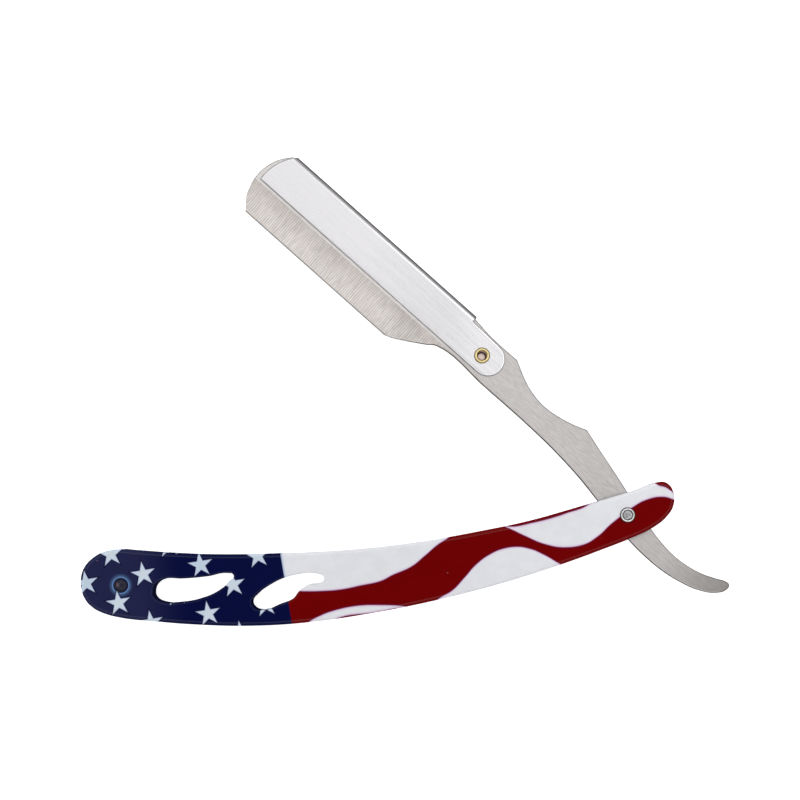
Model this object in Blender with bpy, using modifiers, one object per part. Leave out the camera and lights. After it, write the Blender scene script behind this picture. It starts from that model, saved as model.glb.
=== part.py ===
"""Folding barber's razor with a swing cover, lying on its back rivet heads.

Run with: blender --background --python part.py
Metres, +Z up. The two rivets set the handle's line; the arm is drawn along its own x axis, from the
nose at -x to the tail at +x, and turned about the pivot to its half-open place.
"""

import math

import bmesh
import bpy
from mathutils import Vector

MM = 0.001

# Handle, seen from the front: x runs from the butt rivet (-) to the pivot (0), y up.
HANDLE_SLOPE = math.radians(7.9)
SCALE_THICKNESS = 1.2 * MM
RIM_ROUND = 0.8 * MM
DIMPLE_RADIUS = 2.5 * MM
DIMPLE_DEPTH = 0.15 * MM

# Arm, seen from the front: origin on the pivot, x towards the tail, y towards the spine.
ARM_TURN = math.radians(-41.7)
ARM_THICKNESS = 2.0 * MM
PIVOT_TO_EYELET = 53.6 * MM
EYELET_HEIGHT = 5.75 * MM
EYELET_TO_SHOULDER = 21.9 * MM
EYELET_TO_STEP = 7.1 * MM
SPINE_HEIGHT = 11.5 * MM
STEP_HEIGHT = 11.0 * MM
EDGE_HEIGHT = -6.56 * MM
NOSE_RADIUS = 12.6 * MM
SWELL_REACH = 21.5 * MM
TAIL_REACH = 31.3 * MM

# The head is split into two leaves that hold a half blade.
LEAF_EDGE_THICKNESS = 0.4 * MM
GRIND_WIDTH = 7.75 * MM
GRIND_RUNOUT = 12.5 * MM
SHANK_LOWER_HEIGHT = 0.45 * MM
BLADE_LENGTH = 43.0 * MM
BLADE_WIDTH = 11.0 * MM
BLADE_THICKNESS = 0.1 * MM
BLADE_SETBACK = 0.15 * MM
BLADE_CORNER_CUT = 1.2 * MM
BLADE_TO_NOSE = 4.6 * MM
SHOULDER_TO_BLADE = 2.85 * MM
STUD_RADIUS = 0.9 * MM
STUD_SPACING = 13.0 * MM
STUD_COUNT = 3

# Swing cover, folded from sheet over the spine.
COVER_SHEET = 0.6 * MM
COVER_LOWER_HEIGHT = 1.9 * MM
COVER_FOLD_RADIUS = 0.95 * MM
COVER_NOSE_SETBACK = 1.35 * MM
COVER_NOSE_RADIUS = 13.9 * MM
COVER_NOSE_DROP = 0.5 * MM
EYELET_TO_FOLD_END = 7.4 * MM
TONGUE_WIDTH = 8.7 * MM
TONGUE_REACH = 5.9 * MM

# Eyelet, rivets, collars and washers.
EYELET_HEAD_RADIUS = 1.985 * MM
EYELET_BODY_RADIUS = 1.45 * MM
EYELET_BORE_RADIUS = 1.1 * MM
EYELET_HEAD_HEIGHT = 0.3 * MM
EYELET_FLOOR = 0.6 * MM
PIN_RADIUS = 1.0 * MM
PEEN_RADIUS = 1.2 * MM
PEEN_SETBACK = 0.05 * MM
COLLAR_RADIUS = 1.92 * MM
COLLAR_CREST = 0.2 * MM
COLLAR_SEAT = 0.13 * MM
MOUTH_DEPTH = 0.1 * MM
HEAD_HEIGHT = 0.6 * MM
BUTT_HEAD_RADIUS = 1.75 * MM
SPACER_RADIUS = 2.2 * MM
WASHER_RADIUS = 3.6 * MM

# Clearances.
FACE_GAP = 0.1 * MM
RUNNING_GAP = 0.08 * MM
PRESS_GAP = 0.04 * MM
FOLDING_GAP = 0.05 * MM
NOSE_TO_BUTT_RIVET = 1.65 * MM

# The head is as long as its blade needs, and the handle as long and as deep inside as the folded arm.
EYELET_TO_NOSE = EYELET_TO_SHOULDER + SHOULDER_TO_BLADE + BLADE_LENGTH + BLADE_TO_NOSE
RIVET_SPACING = PIVOT_TO_EYELET + EYELET_TO_NOSE + NOSE_TO_BUTT_RIVET
ARM_SIDE_GAP = COVER_SHEET + EYELET_HEAD_HEIGHT + 2 * FACE_GAP + FOLDING_GAP
LEAF_THICKNESS = (ARM_THICKNESS - BLADE_THICKNESS) / 2 - FACE_GAP
GRIND_DEPTH = LEAF_THICKNESS - LEAF_EDGE_THICKNESS

# Levels through the thickness, from the ground the back rivet heads stand on.
BACK_SCALE_LOW = HEAD_HEIGHT
BACK_SCALE_TOP = BACK_SCALE_LOW + SCALE_THICKNESS
ARM_LOW = BACK_SCALE_TOP + ARM_SIDE_GAP
ARM_TOP = ARM_LOW + ARM_THICKNESS
FRONT_SCALE_LOW = ARM_TOP + ARM_SIDE_GAP
FRONT_SCALE_TOP = FRONT_SCALE_LOW + SCALE_THICKNESS
FRONT_LEAF_LOW = ARM_TOP - LEAF_THICKNESS
BACK_LEAF_TOP = ARM_LOW + LEAF_THICKNESS
BLADE_MIDDLE = (FRONT_LEAF_LOW + BACK_LEAF_TOP) / 2
COVER_LOW = ARM_LOW - FACE_GAP - COVER_SHEET
COVER_TOP = ARM_TOP + FACE_GAP + COVER_SHEET

# Places along the arm that follow from the sizes above.
EYELET_X = -PIVOT_TO_EYELET
NOSE_X = EYELET_X - EYELET_TO_NOSE
LEAF_MIDDLE = (SPINE_HEIGHT + EDGE_HEIGHT) / 2
COVER_SPINE = SPINE_HEIGHT + FACE_GAP + COVER_SHEET
LEAF_END_X = EYELET_X + TONGUE_REACH + FACE_GAP
BLADE_X = NOSE_X + BLADE_TO_NOSE + BLADE_LENGTH / 2
BLADE_LOW_EDGE = EDGE_HEIGHT + BLADE_SETBACK
BLADE_TOP_EDGE = BLADE_LOW_EDGE + BLADE_WIDTH

CURVE_STEPS = 3
ROUND_STEPS = 32
BEYOND = 3.0 * MM
WELD = 1e-7
CORNER = "corner"

STEEL = ((0.62, 0.61, 0.59), 0.35, 1.0)
BRIGHT_STEEL = ((0.80, 0.80, 0.82), 0.28, 1.0)
BRASS = ((0.80, 0.60, 0.22), 0.25, 1.0)
ENAMEL_RED = ((0.36, 0.02, 0.04), 0.22, 0.0)
ENAMEL_BLUE = ((0.02, 0.03, 0.10), 0.22, 0.0)


# --- Scene helpers -------------------------------------------------------------------------------


def clear_scene():
    for thing in list(bpy.data.objects):
        bpy.data.objects.remove(thing, do_unlink=True)


def new_collection(name):
    collection = bpy.data.collections.new(name)
    bpy.context.scene.collection.children.link(collection)
    return collection


def new_material(name, finish):
    colour, roughness, metallic = finish
    made = bpy.data.materials.new(name)
    made.use_nodes = True
    shader = made.node_tree.nodes["Principled BSDF"]
    shader.inputs["Base Color"].default_value = (*colour, 1.0)
    shader.inputs["Roughness"].default_value = roughness
    shader.inputs["Metallic"].default_value = metallic
    made.diffuse_color = (*colour, 1.0)
    return made


def new_frame(name, place, turn, parent=None):
    """An empty that holds a moving group, with its origin on the group's axis."""
    empty = bpy.data.objects.new(name, None)
    empty.location = place
    empty.rotation_euler = (0.0, 0.0, turn)
    empty.parent = parent
    parts.objects.link(empty)
    return empty


def add_part(name, mesh, finish, frame, smooth=False):
    piece = bpy.data.objects.new(name, mesh)
    mesh.materials.append(new_material(name, finish))
    piece.parent = frame
    parts.objects.link(piece)
    if smooth:
        mesh.shade_smooth()
    return piece


def add_cutter(name, mesh, frame):
    tool = bpy.data.objects.new(name, mesh)
    tool.parent = frame
    tool.hide_render = True
    tool.display_type = "WIRE"
    cutters.objects.link(tool)
    return tool


def cut(piece, tool):
    boolean = piece.modifiers.new(tool.name, "BOOLEAN")
    boolean.operation = "DIFFERENCE"
    boolean.solver = "EXACT"
    boolean.object = tool


# --- Shape helpers -------------------------------------------------------------------------------


def plate_mesh(name, outline, low, high):
    """A flat plate from an outline of smooth points (x, y) and corners (x, y, CORNER)."""
    curve = bpy.data.curves.new(name, "CURVE")
    curve.dimensions = "2D"
    curve.fill_mode = "BOTH"
    curve.extrude = (high - low) / 2
    curve.resolution_u = CURVE_STEPS
    spline = curve.splines.new("BEZIER")
    spline.bezier_points.add(len(outline) - 1)
    spline.use_cyclic_u = True
    for knot, point in zip(spline.bezier_points, outline):
        kind = "VECTOR" if point[-1] == CORNER else "AUTO"
        knot.co = (point[0], point[1], 0.0)
        knot.handle_left_type = kind
        knot.handle_right_type = kind
    drawn = bpy.data.objects.new(name, curve)
    bpy.context.scene.collection.objects.link(drawn)
    graph = bpy.context.evaluated_depsgraph_get()
    mesh = bpy.data.meshes.new_from_object(drawn.evaluated_get(graph))
    bpy.data.objects.remove(drawn)
    bpy.data.curves.remove(curve)
    shape = bmesh.new()
    shape.from_mesh(mesh)
    bmesh.ops.remove_doubles(shape, verts=shape.verts, dist=WELD)
    bmesh.ops.translate(shape, verts=shape.verts, vec=(0.0, 0.0, (low + high) / 2))
    bmesh.ops.recalc_face_normals(shape, faces=shape.faces)
    shape.to_mesh(mesh)
    shape.free()
    mesh.name = name
    return mesh


def box_mesh(name, low, high):
    shape = bmesh.new()
    bmesh.ops.create_cube(shape, size=1.0)
    size = Vector(high) - Vector(low)
    bmesh.ops.scale(shape, verts=shape.verts, vec=size)
    bmesh.ops.translate(shape, verts=shape.verts, vec=(Vector(low) + Vector(high)) / 2)
    return finish_mesh(name, shape)


def rod_mesh(name, place, radius, low, high):
    shape = bmesh.new()
    bmesh.ops.create_cone(
        shape,
        cap_ends=True,
        segments=ROUND_STEPS,
        radius1=radius,
        radius2=radius,
        depth=high - low,
    )
    bmesh.ops.translate(shape, verts=shape.verts, vec=(*place, (low + high) / 2))
    return finish_mesh(name, shape)


def finish_mesh(name, shape):
    mesh = bpy.data.meshes.new(name)
    shape.to_mesh(mesh)
    shape.free()
    return mesh


def round_edges(mesh, chosen, radius, steps):
    """Rounds the mesh's edges that chosen(edge) picks."""
    shape = bmesh.new()
    shape.from_mesh(mesh)
    edges = [edge for edge in shape.edges if chosen(edge)]
    bmesh.ops.bevel(
        shape,
        geom=edges,
        offset=radius,
        segments=steps,
        affect="EDGES",
        profile=0.5,
        material=-1,
        clamp_overlap=True,
    )
    shape.to_mesh(mesh)
    shape.free()


def turned_part(name, profile, place, finish, frame):
    """A part turned about a vertical axis from (radius, level) points, outer side top to bottom."""
    mesh = bpy.data.meshes.new(name)
    points = [(radius, 0.0, level) for radius, level in profile]
    edges = [(i, i + 1) for i in range(len(points) - 1)]
    if profile[0][0] > 0.0:
        edges.append((len(points) - 1, 0))
    mesh.from_pydata(points, edges, [])
    piece = add_part(name, mesh, finish, frame)
    piece.location = (*place, 0.0)
    screw = piece.modifiers.new("turn", "SCREW")
    screw.steps = ROUND_STEPS
    screw.render_steps = ROUND_STEPS
    screw.use_merge_vertices = True
    screw.merge_threshold = WELD
    screw.use_smooth_shade = True
    return piece


def arc(centre, radius, start, end, steps):
    """Points on an arc, angles in degrees, both ends included."""
    found = []
    for i in range(steps + 1):
        angle = math.radians(start + (end - start) * i / steps)
        found.append((centre[0] + radius * math.cos(angle), centre[1] + radius * math.sin(angle)))
    return found


def dome(radius, low, high, steps=4):
    """The profile of a domed head, from its top on the axis to its rim."""
    rise = high - low
    found = []
    for i in range(steps + 1):
        angle = math.radians(90.0 * (1 - i / steps))
        found.append((radius * math.cos(angle), low + rise * math.sin(angle)))
    found[0] = (0.0, high)
    return found


def mirrored(profile, middle):
    """The same profile the other way up, about a level, still running top to bottom."""
    return [(radius, 2 * middle - level) for radius, level in reversed(profile)]


def from_pivot(points):
    """Points in millimetres from the pivot."""
    return [(x * MM, y * MM) for x, y in points]


# --- Handle --------------------------------------------------------------------------------------


def from_butt(points):
    """Points in millimetres from the butt rivet."""
    return [(x * MM - RIVET_SPACING, y * MM) for x, y in points]


def between_rivets(points):
    """Points given as a share of the way from the butt rivet to the pivot, and a height."""
    return [((share - 1) * RIVET_SPACING, y * MM) for share, y in points]


def handle_outline():
    """Clockwise from the butt's lower corner: hooked butt, hollow top, blunt front, full belly."""
    butt = [(-9.5, -2.1), (-10.0, 0.8), (-9.7, 3.4), (-8.4, 5.9), (-6.2, 7.7), (-3.5, 8.8)]
    butt += [(0.5, 9.0), (4.5, 8.2)]
    top = [(0.10, 6.45), (0.19, 4.4), (0.32, 2.4), (0.46, 0.9), (0.59, 0.5), (0.72, 1.1)]
    front = [(-24.0, 1.95), (-13.0, 3.45), (-4.0, 4.85), (3.5, 6.0), (8.6, 7.1), (10.8, 6.7)]
    front += [(12.2, 4.4), (11.9, 1.0), (9.8, -1.7), (5.5, -4.2), (0.0, -5.9), (-7.0, -7.6)]
    belly = [(0.86, -9.95), (0.74, -12.6), (0.61, -14.5), (0.47, -15.55), (0.35, -15.6)]
    belly += [(0.24, -14.5), (0.13, -12.2)]
    heel = [(7.0, -10.1), (-1.2, -8.05), (-5.6, -6.2), (-7.9, -4.5)]
    return (
        from_butt(butt)
        + between_rivets(top)
        + from_pivot(front)
        + between_rivets(belly)
        + from_butt(heel)
    )


def rear_window():
    points = [(7.0, -3.4), (8.6, -0.9), (11.1, 0.1), (15.5, -0.45), (22.0, -0.75), (26.6, -0.6)]
    points += [(28.2, -1.4), (27.0, -2.7), (24.0, -4.6), (19.5, -5.9), (14.5, -6.3), (9.4, -5.5)]
    return from_butt(points)


def front_window():
    points = [(31.7, -8.6), (33.4, -6.8), (36.6, -5.1), (40.7, -3.75), (44.2, -3.4), (48.0, -3.6)]
    points += [(50.4, -5.1), (49.4, -6.2), (46.4, -6.3), (44.1, -7.3), (42.0, -9.2), (38.5, -10.2)]
    points += [(34.4, -11.0), (32.3, -10.2)]
    return from_butt(points)


def add_scale(name, low, outer, frame, tools, finish):
    """One side of the handle, its rim rounded on the face away from the arm."""
    high = low + SCALE_THICKNESS
    mesh = plate_mesh(name, handle_outline(), low, high)
    level = high if outer > 0 else low

    def on_outer_rim(edge):
        flat = all(abs(vert.co.z - level) < WELD for vert in edge.verts)
        return flat and edge.calc_face_angle() > 1.0

    round_edges(mesh, on_outer_rim, RIM_ROUND, 2)
    scale = add_part(name, mesh, finish, frame)
    for tool in tools:
        cut(scale, tool)
    return scale


def add_handle(frame):
    butt = (-RIVET_SPACING, 0.0)
    low = -BEYOND
    high = FRONT_SCALE_TOP + BEYOND
    tools = [
        add_cutter("rear_window_cutter", plate_mesh("rear_window", rear_window(), low, high), frame),
        add_cutter("front_window_cutter", plate_mesh("front_window", front_window(), low, high), frame),
    ]
    for name, place in (("pivot_bore_cutter", (0.0, 0.0)), ("butt_bore_cutter", butt)):
        mesh = rod_mesh(name, place, PIN_RADIUS + RUNNING_GAP, low, high)
        tools.append(add_cutter(name, mesh, frame))
    dimple = rod_mesh(
        "dimple_cutter", butt, DIMPLE_RADIUS, FRONT_SCALE_TOP - DIMPLE_DEPTH, high
    )
    front_tools = tools + [add_cutter("dimple_cutter", dimple, frame)]
    add_scale("back_scale", BACK_SCALE_LOW, -1, frame, tools, ENAMEL_RED)
    add_scale("front_scale", FRONT_SCALE_LOW, 1, frame, front_tools, ENAMEL_RED)
    add_butt_rivet(butt, frame)
    add_spacer(butt, frame)


def add_butt_rivet(place, frame):
    """A rivet with a domed head on each outer face, the front one sunk in the dimple."""
    front_seat = FRONT_SCALE_TOP - DIMPLE_DEPTH + FACE_GAP
    front = dome(BUTT_HEAD_RADIUS, front_seat, front_seat + HEAD_HEIGHT)
    front += [(PIN_RADIUS, front_seat)]
    back = dome(BUTT_HEAD_RADIUS, BACK_SCALE_LOW - FACE_GAP, 2 * (BACK_SCALE_LOW - FACE_GAP))
    back += [(PIN_RADIUS, BACK_SCALE_LOW - FACE_GAP)]
    turned_part("butt_rivet", front + mirrored(back, BACK_SCALE_LOW - FACE_GAP), place, ENAMEL_BLUE, frame)


def add_spacer(place, frame):
    add_ring("butt_spacer", place, SPACER_RADIUS, PIN_RADIUS + RUNNING_GAP, BACK_SCALE_TOP,
             FRONT_SCALE_LOW, STEEL, frame)


def add_ring(name, place, outer, inner, low, high, finish, frame):
    """A plain ring that stands FACE_GAP clear of the faces at low and high."""
    top = high - FACE_GAP
    bottom = low + FACE_GAP
    profile = [(inner, top), (outer, top), (outer, bottom), (inner, bottom)]
    turned_part(name, profile, place, finish, frame)


def add_pivot(frame):
    """The peened pivot pin, its domed collars and the washers that centre the arm."""
    centre = (0.0, 0.0)
    seat = FRONT_SCALE_TOP + FACE_GAP
    top = seat + HEAD_HEIGHT - FACE_GAP
    middle = (BACK_SCALE_LOW + FRONT_SCALE_TOP) / 2
    bore = PIN_RADIUS + RUNNING_GAP
    mouth = PEEN_RADIUS + RUNNING_GAP
    crest = mouth + COLLAR_CREST
    round_over = dome(COLLAR_RADIUS - crest, seat, top)
    collar = [(mouth, top - MOUTH_DEPTH)] + [(crest + reach, level) for reach, level in round_over]
    collar += [(bore, seat), (bore, seat + COLLAR_SEAT)]
    turned_part("pivot_collar_front", collar, centre, BRIGHT_STEEL, frame)
    back_collar = mirrored(collar, middle)
    turned_part("pivot_collar_back", back_collar, centre, BRIGHT_STEEL, frame)
    peen_top = top - PEEN_SETBACK
    pin = [(0.0, peen_top), (PEEN_RADIUS - MOUTH_DEPTH, peen_top), (PEEN_RADIUS, peen_top - MOUTH_DEPTH)]
    pin += [(PIN_RADIUS, seat + 2 * COLLAR_SEAT)]
    turned_part("pivot_rivet", pin + mirrored(pin, middle), centre, STEEL, frame)
    add_ring("pivot_washer_back", centre, WASHER_RADIUS, bore, BACK_SCALE_TOP, ARM_LOW, STEEL, frame)
    add_ring("pivot_washer_front", centre, WASHER_RADIUS, bore, ARM_TOP, FRONT_SCALE_LOW, STEEL, frame)


# --- Arm -----------------------------------------------------------------------------------------


def nose_arc():
    """From the edge's corner round the nose to the spine's corner."""
    rise = (SPINE_HEIGHT - EDGE_HEIGHT) / 2
    half = math.degrees(math.asin(rise / NOSE_RADIUS))
    points = arc((NOSE_X + NOSE_RADIUS, LEAF_MIDDLE), NOSE_RADIUS, 180 + half, 180 - half, 6)
    return [(*points[0], CORNER), *points[1:-1], (*points[-1], CORNER)]


def shoulder():
    """The slope from the shank's lower side down to the cutting edge, run towards the nose."""
    start = EYELET_X - EYELET_TO_SHOULDER
    return [
        (start + 11.7 * MM, 0.15 * MM),
        (start + 9.4 * MM, -1.4 * MM),
        (start + 6.9 * MM, -2.95 * MM),
        (start + 4.4 * MM, -4.45 * MM),
        (start + 1.9 * MM, -5.85 * MM),
        (start, EDGE_HEIGHT, CORNER),
    ]


def shank_top():
    """From the head's step through the waist to the swell, and down towards the pivot."""
    start = EYELET_X + EYELET_TO_STEP
    run = -SWELL_REACH - start
    waist = [(0.06, 10.1), (0.20, 8.4), (0.36, 7.15), (0.52, 6.7), (0.68, 7.1), (0.84, 8.0)]
    points = [(start, STEP_HEIGHT, CORNER)]
    points += [(start + share * run, y * MM) for share, y in waist]
    points += [(-SWELL_REACH, 9.4 * MM, CORNER)]
    return points


def tail_top():
    points = [(-16.0, 7.85), (-8.0, 5.75), (0.0, 3.5), (7.0, 1.55), (12.0, 0.65), (16.0, 0.4)]
    points += [(20.0, 0.75), (24.0, 1.7), (27.5, 3.15)]
    tip = [(TAIL_REACH - 1.4 * MM, 4.25 * MM), (TAIL_REACH - 0.3 * MM, 4.1 * MM)]
    tip += [(TAIL_REACH, 3.0 * MM), (TAIL_REACH - 1.3 * MM, 0.6 * MM)]
    return from_pivot(points) + tip


def tail_bottom():
    points = [(26.0, -2.0), (22.0, -3.3), (17.0, -4.25), (11.0, -4.55), (5.0, -4.2)]
    points += [(-4.0, -2.75), (-14.0, -0.95), (-22.0, -0.05), (-30.0, 0.4)]
    return from_pivot(points)


def arm_outline():
    """Clockwise from the edge's nose corner."""
    lower_run = [(EYELET_X + TONGUE_REACH, SHANK_LOWER_HEIGHT)]
    return (
        nose_arc()
        + [(EYELET_X + EYELET_TO_STEP - 3.0 * MM, SPINE_HEIGHT, CORNER)]
        + shank_top()
        + tail_top()
        + tail_bottom()
        + lower_run
        + shoulder()
    )


def back_leaf_outline():
    """The head's outline, cut square behind the eyelet."""
    end = LEAF_END_X - FACE_GAP
    square = [(end, SPINE_HEIGHT, CORNER), (end, SHANK_LOWER_HEIGHT, CORNER)]
    return nose_arc() + square + shoulder()


def grind_cutter(name, level, side, frame):
    """A wedge that thins a leaf from its outer face towards the edge."""
    tilt = math.atan2(GRIND_DEPTH, GRIND_WIDTH)
    mesh = box_mesh(
        name,
        (NOSE_X - BEYOND, -GRIND_WIDTH - BEYOND, 0.0),
        (EYELET_X - EYELET_TO_SHOULDER + GRIND_RUNOUT, 0.0, BEYOND),
    )
    tool = add_cutter(name, mesh, frame)
    tool.location = (0.0, EDGE_HEIGHT + GRIND_WIDTH, level)
    tool.rotation_euler = (side * tilt, 0.0, 0.0)
    if side < 0:
        for vert in mesh.vertices:
            vert.co.z -= BEYOND
    return tool


def rod_cutter(name, place, radius, frame):
    low = -BEYOND
    return add_cutter(name, rod_mesh(name, place, radius, low, FRONT_SCALE_TOP + BEYOND), frame)


def stud_places():
    first = -(STUD_COUNT - 1) / 2
    return [(BLADE_X + (first + i) * STUD_SPACING, BLADE_TOP_EDGE) for i in range(STUD_COUNT)]


def add_arm(frame):
    """The shank, tail and front leaf in one plate, and the back leaf let into its underside."""
    eyelet = (EYELET_X, EYELET_HEIGHT)
    eyelet_bore = rod_cutter("eyelet_bore_cutter", eyelet, EYELET_BODY_RADIUS + PRESS_GAP, frame)
    stud_bores = []
    for i, place in enumerate(stud_places()):
        name = f"stud_bore_cutter_{i + 1}"
        stud_bores.append(rod_cutter(name, place, STUD_RADIUS + PRESS_GAP, frame))
    rebate = box_mesh(
        "leaf_rebate",
        (NOSE_X - BEYOND, EDGE_HEIGHT - BEYOND, ARM_LOW - BEYOND),
        (LEAF_END_X, SPINE_HEIGHT + BEYOND, FRONT_LEAF_LOW),
    )
    arm = add_part("blade_arm", plate_mesh("blade_arm", arm_outline(), ARM_LOW, ARM_TOP), STEEL, frame)
    cut(arm, add_cutter("leaf_rebate_cutter", rebate, frame))
    cut(arm, grind_cutter("front_grind_cutter", ARM_TOP, 1, frame))
    cut(arm, rod_cutter("arm_bore_cutter", (0.0, 0.0), PIN_RADIUS + RUNNING_GAP, frame))
    leaf_mesh = plate_mesh("back_leaf", back_leaf_outline(), ARM_LOW, BACK_LEAF_TOP)
    leaf = add_part("back_leaf", leaf_mesh, STEEL, frame)
    cut(leaf, grind_cutter("back_grind_cutter", ARM_LOW, -1, frame))
    for tool in [eyelet_bore, *stud_bores]:
        cut(arm, tool)
        cut(leaf, tool)


def add_blade(frame):
    """Half of a double-edged blade, its notches located on the studs."""
    left = BLADE_X - BLADE_LENGTH / 2
    right = BLADE_X + BLADE_LENGTH / 2
    outline = [
        (left, BLADE_LOW_EDGE, CORNER),
        (left, BLADE_TOP_EDGE - BLADE_CORNER_CUT, CORNER),
        (left + BLADE_CORNER_CUT, BLADE_TOP_EDGE, CORNER),
        (right - BLADE_CORNER_CUT, BLADE_TOP_EDGE, CORNER),
        (right, BLADE_TOP_EDGE - BLADE_CORNER_CUT, CORNER),
        (right, BLADE_LOW_EDGE, CORNER),
    ]
    low = BLADE_MIDDLE - BLADE_THICKNESS / 2
    mesh = plate_mesh("half_blade", outline, low, low + BLADE_THICKNESS)
    blade = add_part("half_blade", mesh, BRIGHT_STEEL, frame)
    for i, place in enumerate(stud_places()):
        name = f"blade_notch_cutter_{i + 1}"
        cut(blade, rod_cutter(name, place, STUD_RADIUS + RUNNING_GAP, frame))
        bottom = ARM_LOW + FACE_GAP
        top = ARM_TOP - FACE_GAP
        stud = [(0.0, top), (STUD_RADIUS, top), (STUD_RADIUS, bottom), (0.0, bottom)]
        turned_part(f"blade_stud_{i + 1}", stud, place, STEEL, frame)


def add_eyelet(frame):
    """A blind brass eyelet: closed head behind, rolled lip in front."""
    back_seat = COVER_LOW - FACE_GAP
    front_seat = COVER_TOP + FACE_GAP
    profile = [
        (0.0, back_seat + EYELET_FLOOR),
        (EYELET_BORE_RADIUS, back_seat + EYELET_FLOOR),
    ]
    lip = (EYELET_HEAD_RADIUS - EYELET_BORE_RADIUS) / 2
    for across, rise in arc((0.0, 0.0), 1.0, 180, 0, 8):
        radius = EYELET_BORE_RADIUS + (1 + across) * lip
        profile.append((radius, front_seat + rise * EYELET_HEAD_HEIGHT))
    profile += [(EYELET_BODY_RADIUS, front_seat), (EYELET_BODY_RADIUS, back_seat)]
    back_head = dome(EYELET_HEAD_RADIUS, 0.0, EYELET_HEAD_HEIGHT)
    profile += [(radius, back_seat - rise) for radius, rise in reversed(back_head)]
    turned_part("eyelet", profile, (EYELET_X, EYELET_HEIGHT), BRASS, frame)


# --- Swing cover, drawn from the eyelet's axis ---------------------------------------------------


def cover_outline():
    """Clockwise from the lower nose corner, in the arm's coordinates."""
    middle = LEAF_MIDDLE + COVER_NOSE_DROP
    centre_x = NOSE_X + COVER_NOSE_SETBACK + COVER_NOSE_RADIUS
    low_turn = math.degrees(math.asin((middle - COVER_LOWER_HEIGHT) / COVER_NOSE_RADIUS))
    high_turn = math.degrees(math.asin((COVER_SPINE - middle) / COVER_NOSE_RADIUS))
    nose = arc((centre_x, middle), COVER_NOSE_RADIUS, 180 + low_turn, 180 - high_turn, 5)
    fold_end = EYELET_X - EYELET_TO_FOLD_END
    half = TONGUE_WIDTH / 2
    tongue_x = EYELET_X + TONGUE_REACH - half
    tongue = arc((tongue_x, COVER_LOWER_HEIGHT + half), half, 90, -90, 8)
    return (
        [(*nose[0], CORNER), *nose[1:-1], (*nose[-1], CORNER)]
        + [(fold_end, COVER_SPINE, CORNER), (fold_end, COVER_LOWER_HEIGHT + TONGUE_WIDTH, CORNER)]
        + [(*tongue[0], CORNER), *tongue[1:-1], (*tongue[-1], CORNER)]
    )


def add_cover(frame):
    """A channel folded over the spine, with a tongue on each side of the arm at the eyelet."""
    outline = [(point[0] - EYELET_X, point[1] - EYELET_HEIGHT, *point[2:]) for point in cover_outline()]
    mesh = plate_mesh("swing_cover", outline, COVER_LOW, COVER_TOP)
    spine = COVER_SPINE - EYELET_HEIGHT

    def on_fold(edge):
        level = edge.verts[0].co.z
        flat = abs(level - edge.verts[1].co.z) < WELD
        along = all(abs(vert.co.y - spine) < WELD for vert in edge.verts)
        return flat and along and edge.calc_face_angle() > 1.0

    round_edges(mesh, on_fold, COVER_FOLD_RADIUS, 3)
    cover = add_part("swing_cover", mesh, BRIGHT_STEEL, frame)
    slot = box_mesh(
        "cover_slot",
        (NOSE_X - EYELET_X - BEYOND, EDGE_HEIGHT - EYELET_HEIGHT - BEYOND, COVER_LOW + COVER_SHEET),
        (TONGUE_REACH + BEYOND, spine - COVER_SHEET, COVER_TOP - COVER_SHEET),
    )
    cut(cover, add_cutter("cover_slot_cutter", slot, frame))
    cut(cover, rod_cutter("tongue_bore_cutter", (0.0, 0.0), EYELET_BODY_RADIUS + RUNNING_GAP, frame))


# --- Whole object --------------------------------------------------------------------------------


def stand_on_ground(root):
    """Moves everything so that the origin is under the middle of the object's box."""
    bpy.context.view_layer.update()
    graph = bpy.context.evaluated_depsgraph_get()
    corners = []
    for piece in parts.objects:
        if piece.type == "MESH":
            solid = piece.evaluated_get(graph)
            mesh = solid.to_mesh()
            corners += [solid.matrix_world @ vert.co for vert in mesh.vertices]
            solid.to_mesh_clear()
    low = Vector([min(point[i] for point in corners) for i in range(3)])
    high = Vector([max(point[i] for point in corners) for i in range(3)])
    root.location = (-(low.x + high.x) / 2, -(low.y + high.y) / 2, -low.z)
    bpy.context.view_layer.update()


def build_razor():
    root = new_frame("razor", (0.0, 0.0, 0.0), 0.0)
    handle = new_frame("handle_frame", (0.0, 0.0, 0.0), HANDLE_SLOPE, root)
    arm = new_frame("arm_frame", (0.0, 0.0, 0.0), ARM_TURN, root)
    cover = new_frame("cover_frame", (EYELET_X, EYELET_HEIGHT, 0.0), 0.0, arm)
    add_handle(handle)
    add_pivot(handle)
    add_arm(arm)
    add_blade(arm)
    add_eyelet(arm)
    add_cover(cover)
    stand_on_ground(root)


clear_scene()
parts = new_collection("straight_razor")
cutters = new_collection("cutters")
build_razor()
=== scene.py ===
"""Looks of a folding barber's razor with a swing cover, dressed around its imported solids.

Every piece is drawn in millimetres on its own bench, which is the handle's or the arm's working
frame, and is then carried to its place on the razor. Its object stays at the origin, and its
finish reads the same bench millimetres, so a pattern keeps to the part when the razor folds.
"""

import functools
import logging
import math
from collections.abc import Callable, Mapping, Sequence
from dataclasses import dataclass
from enum import Enum

import bmesh
import bpy
from mathutils import Matrix, Vector


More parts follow.
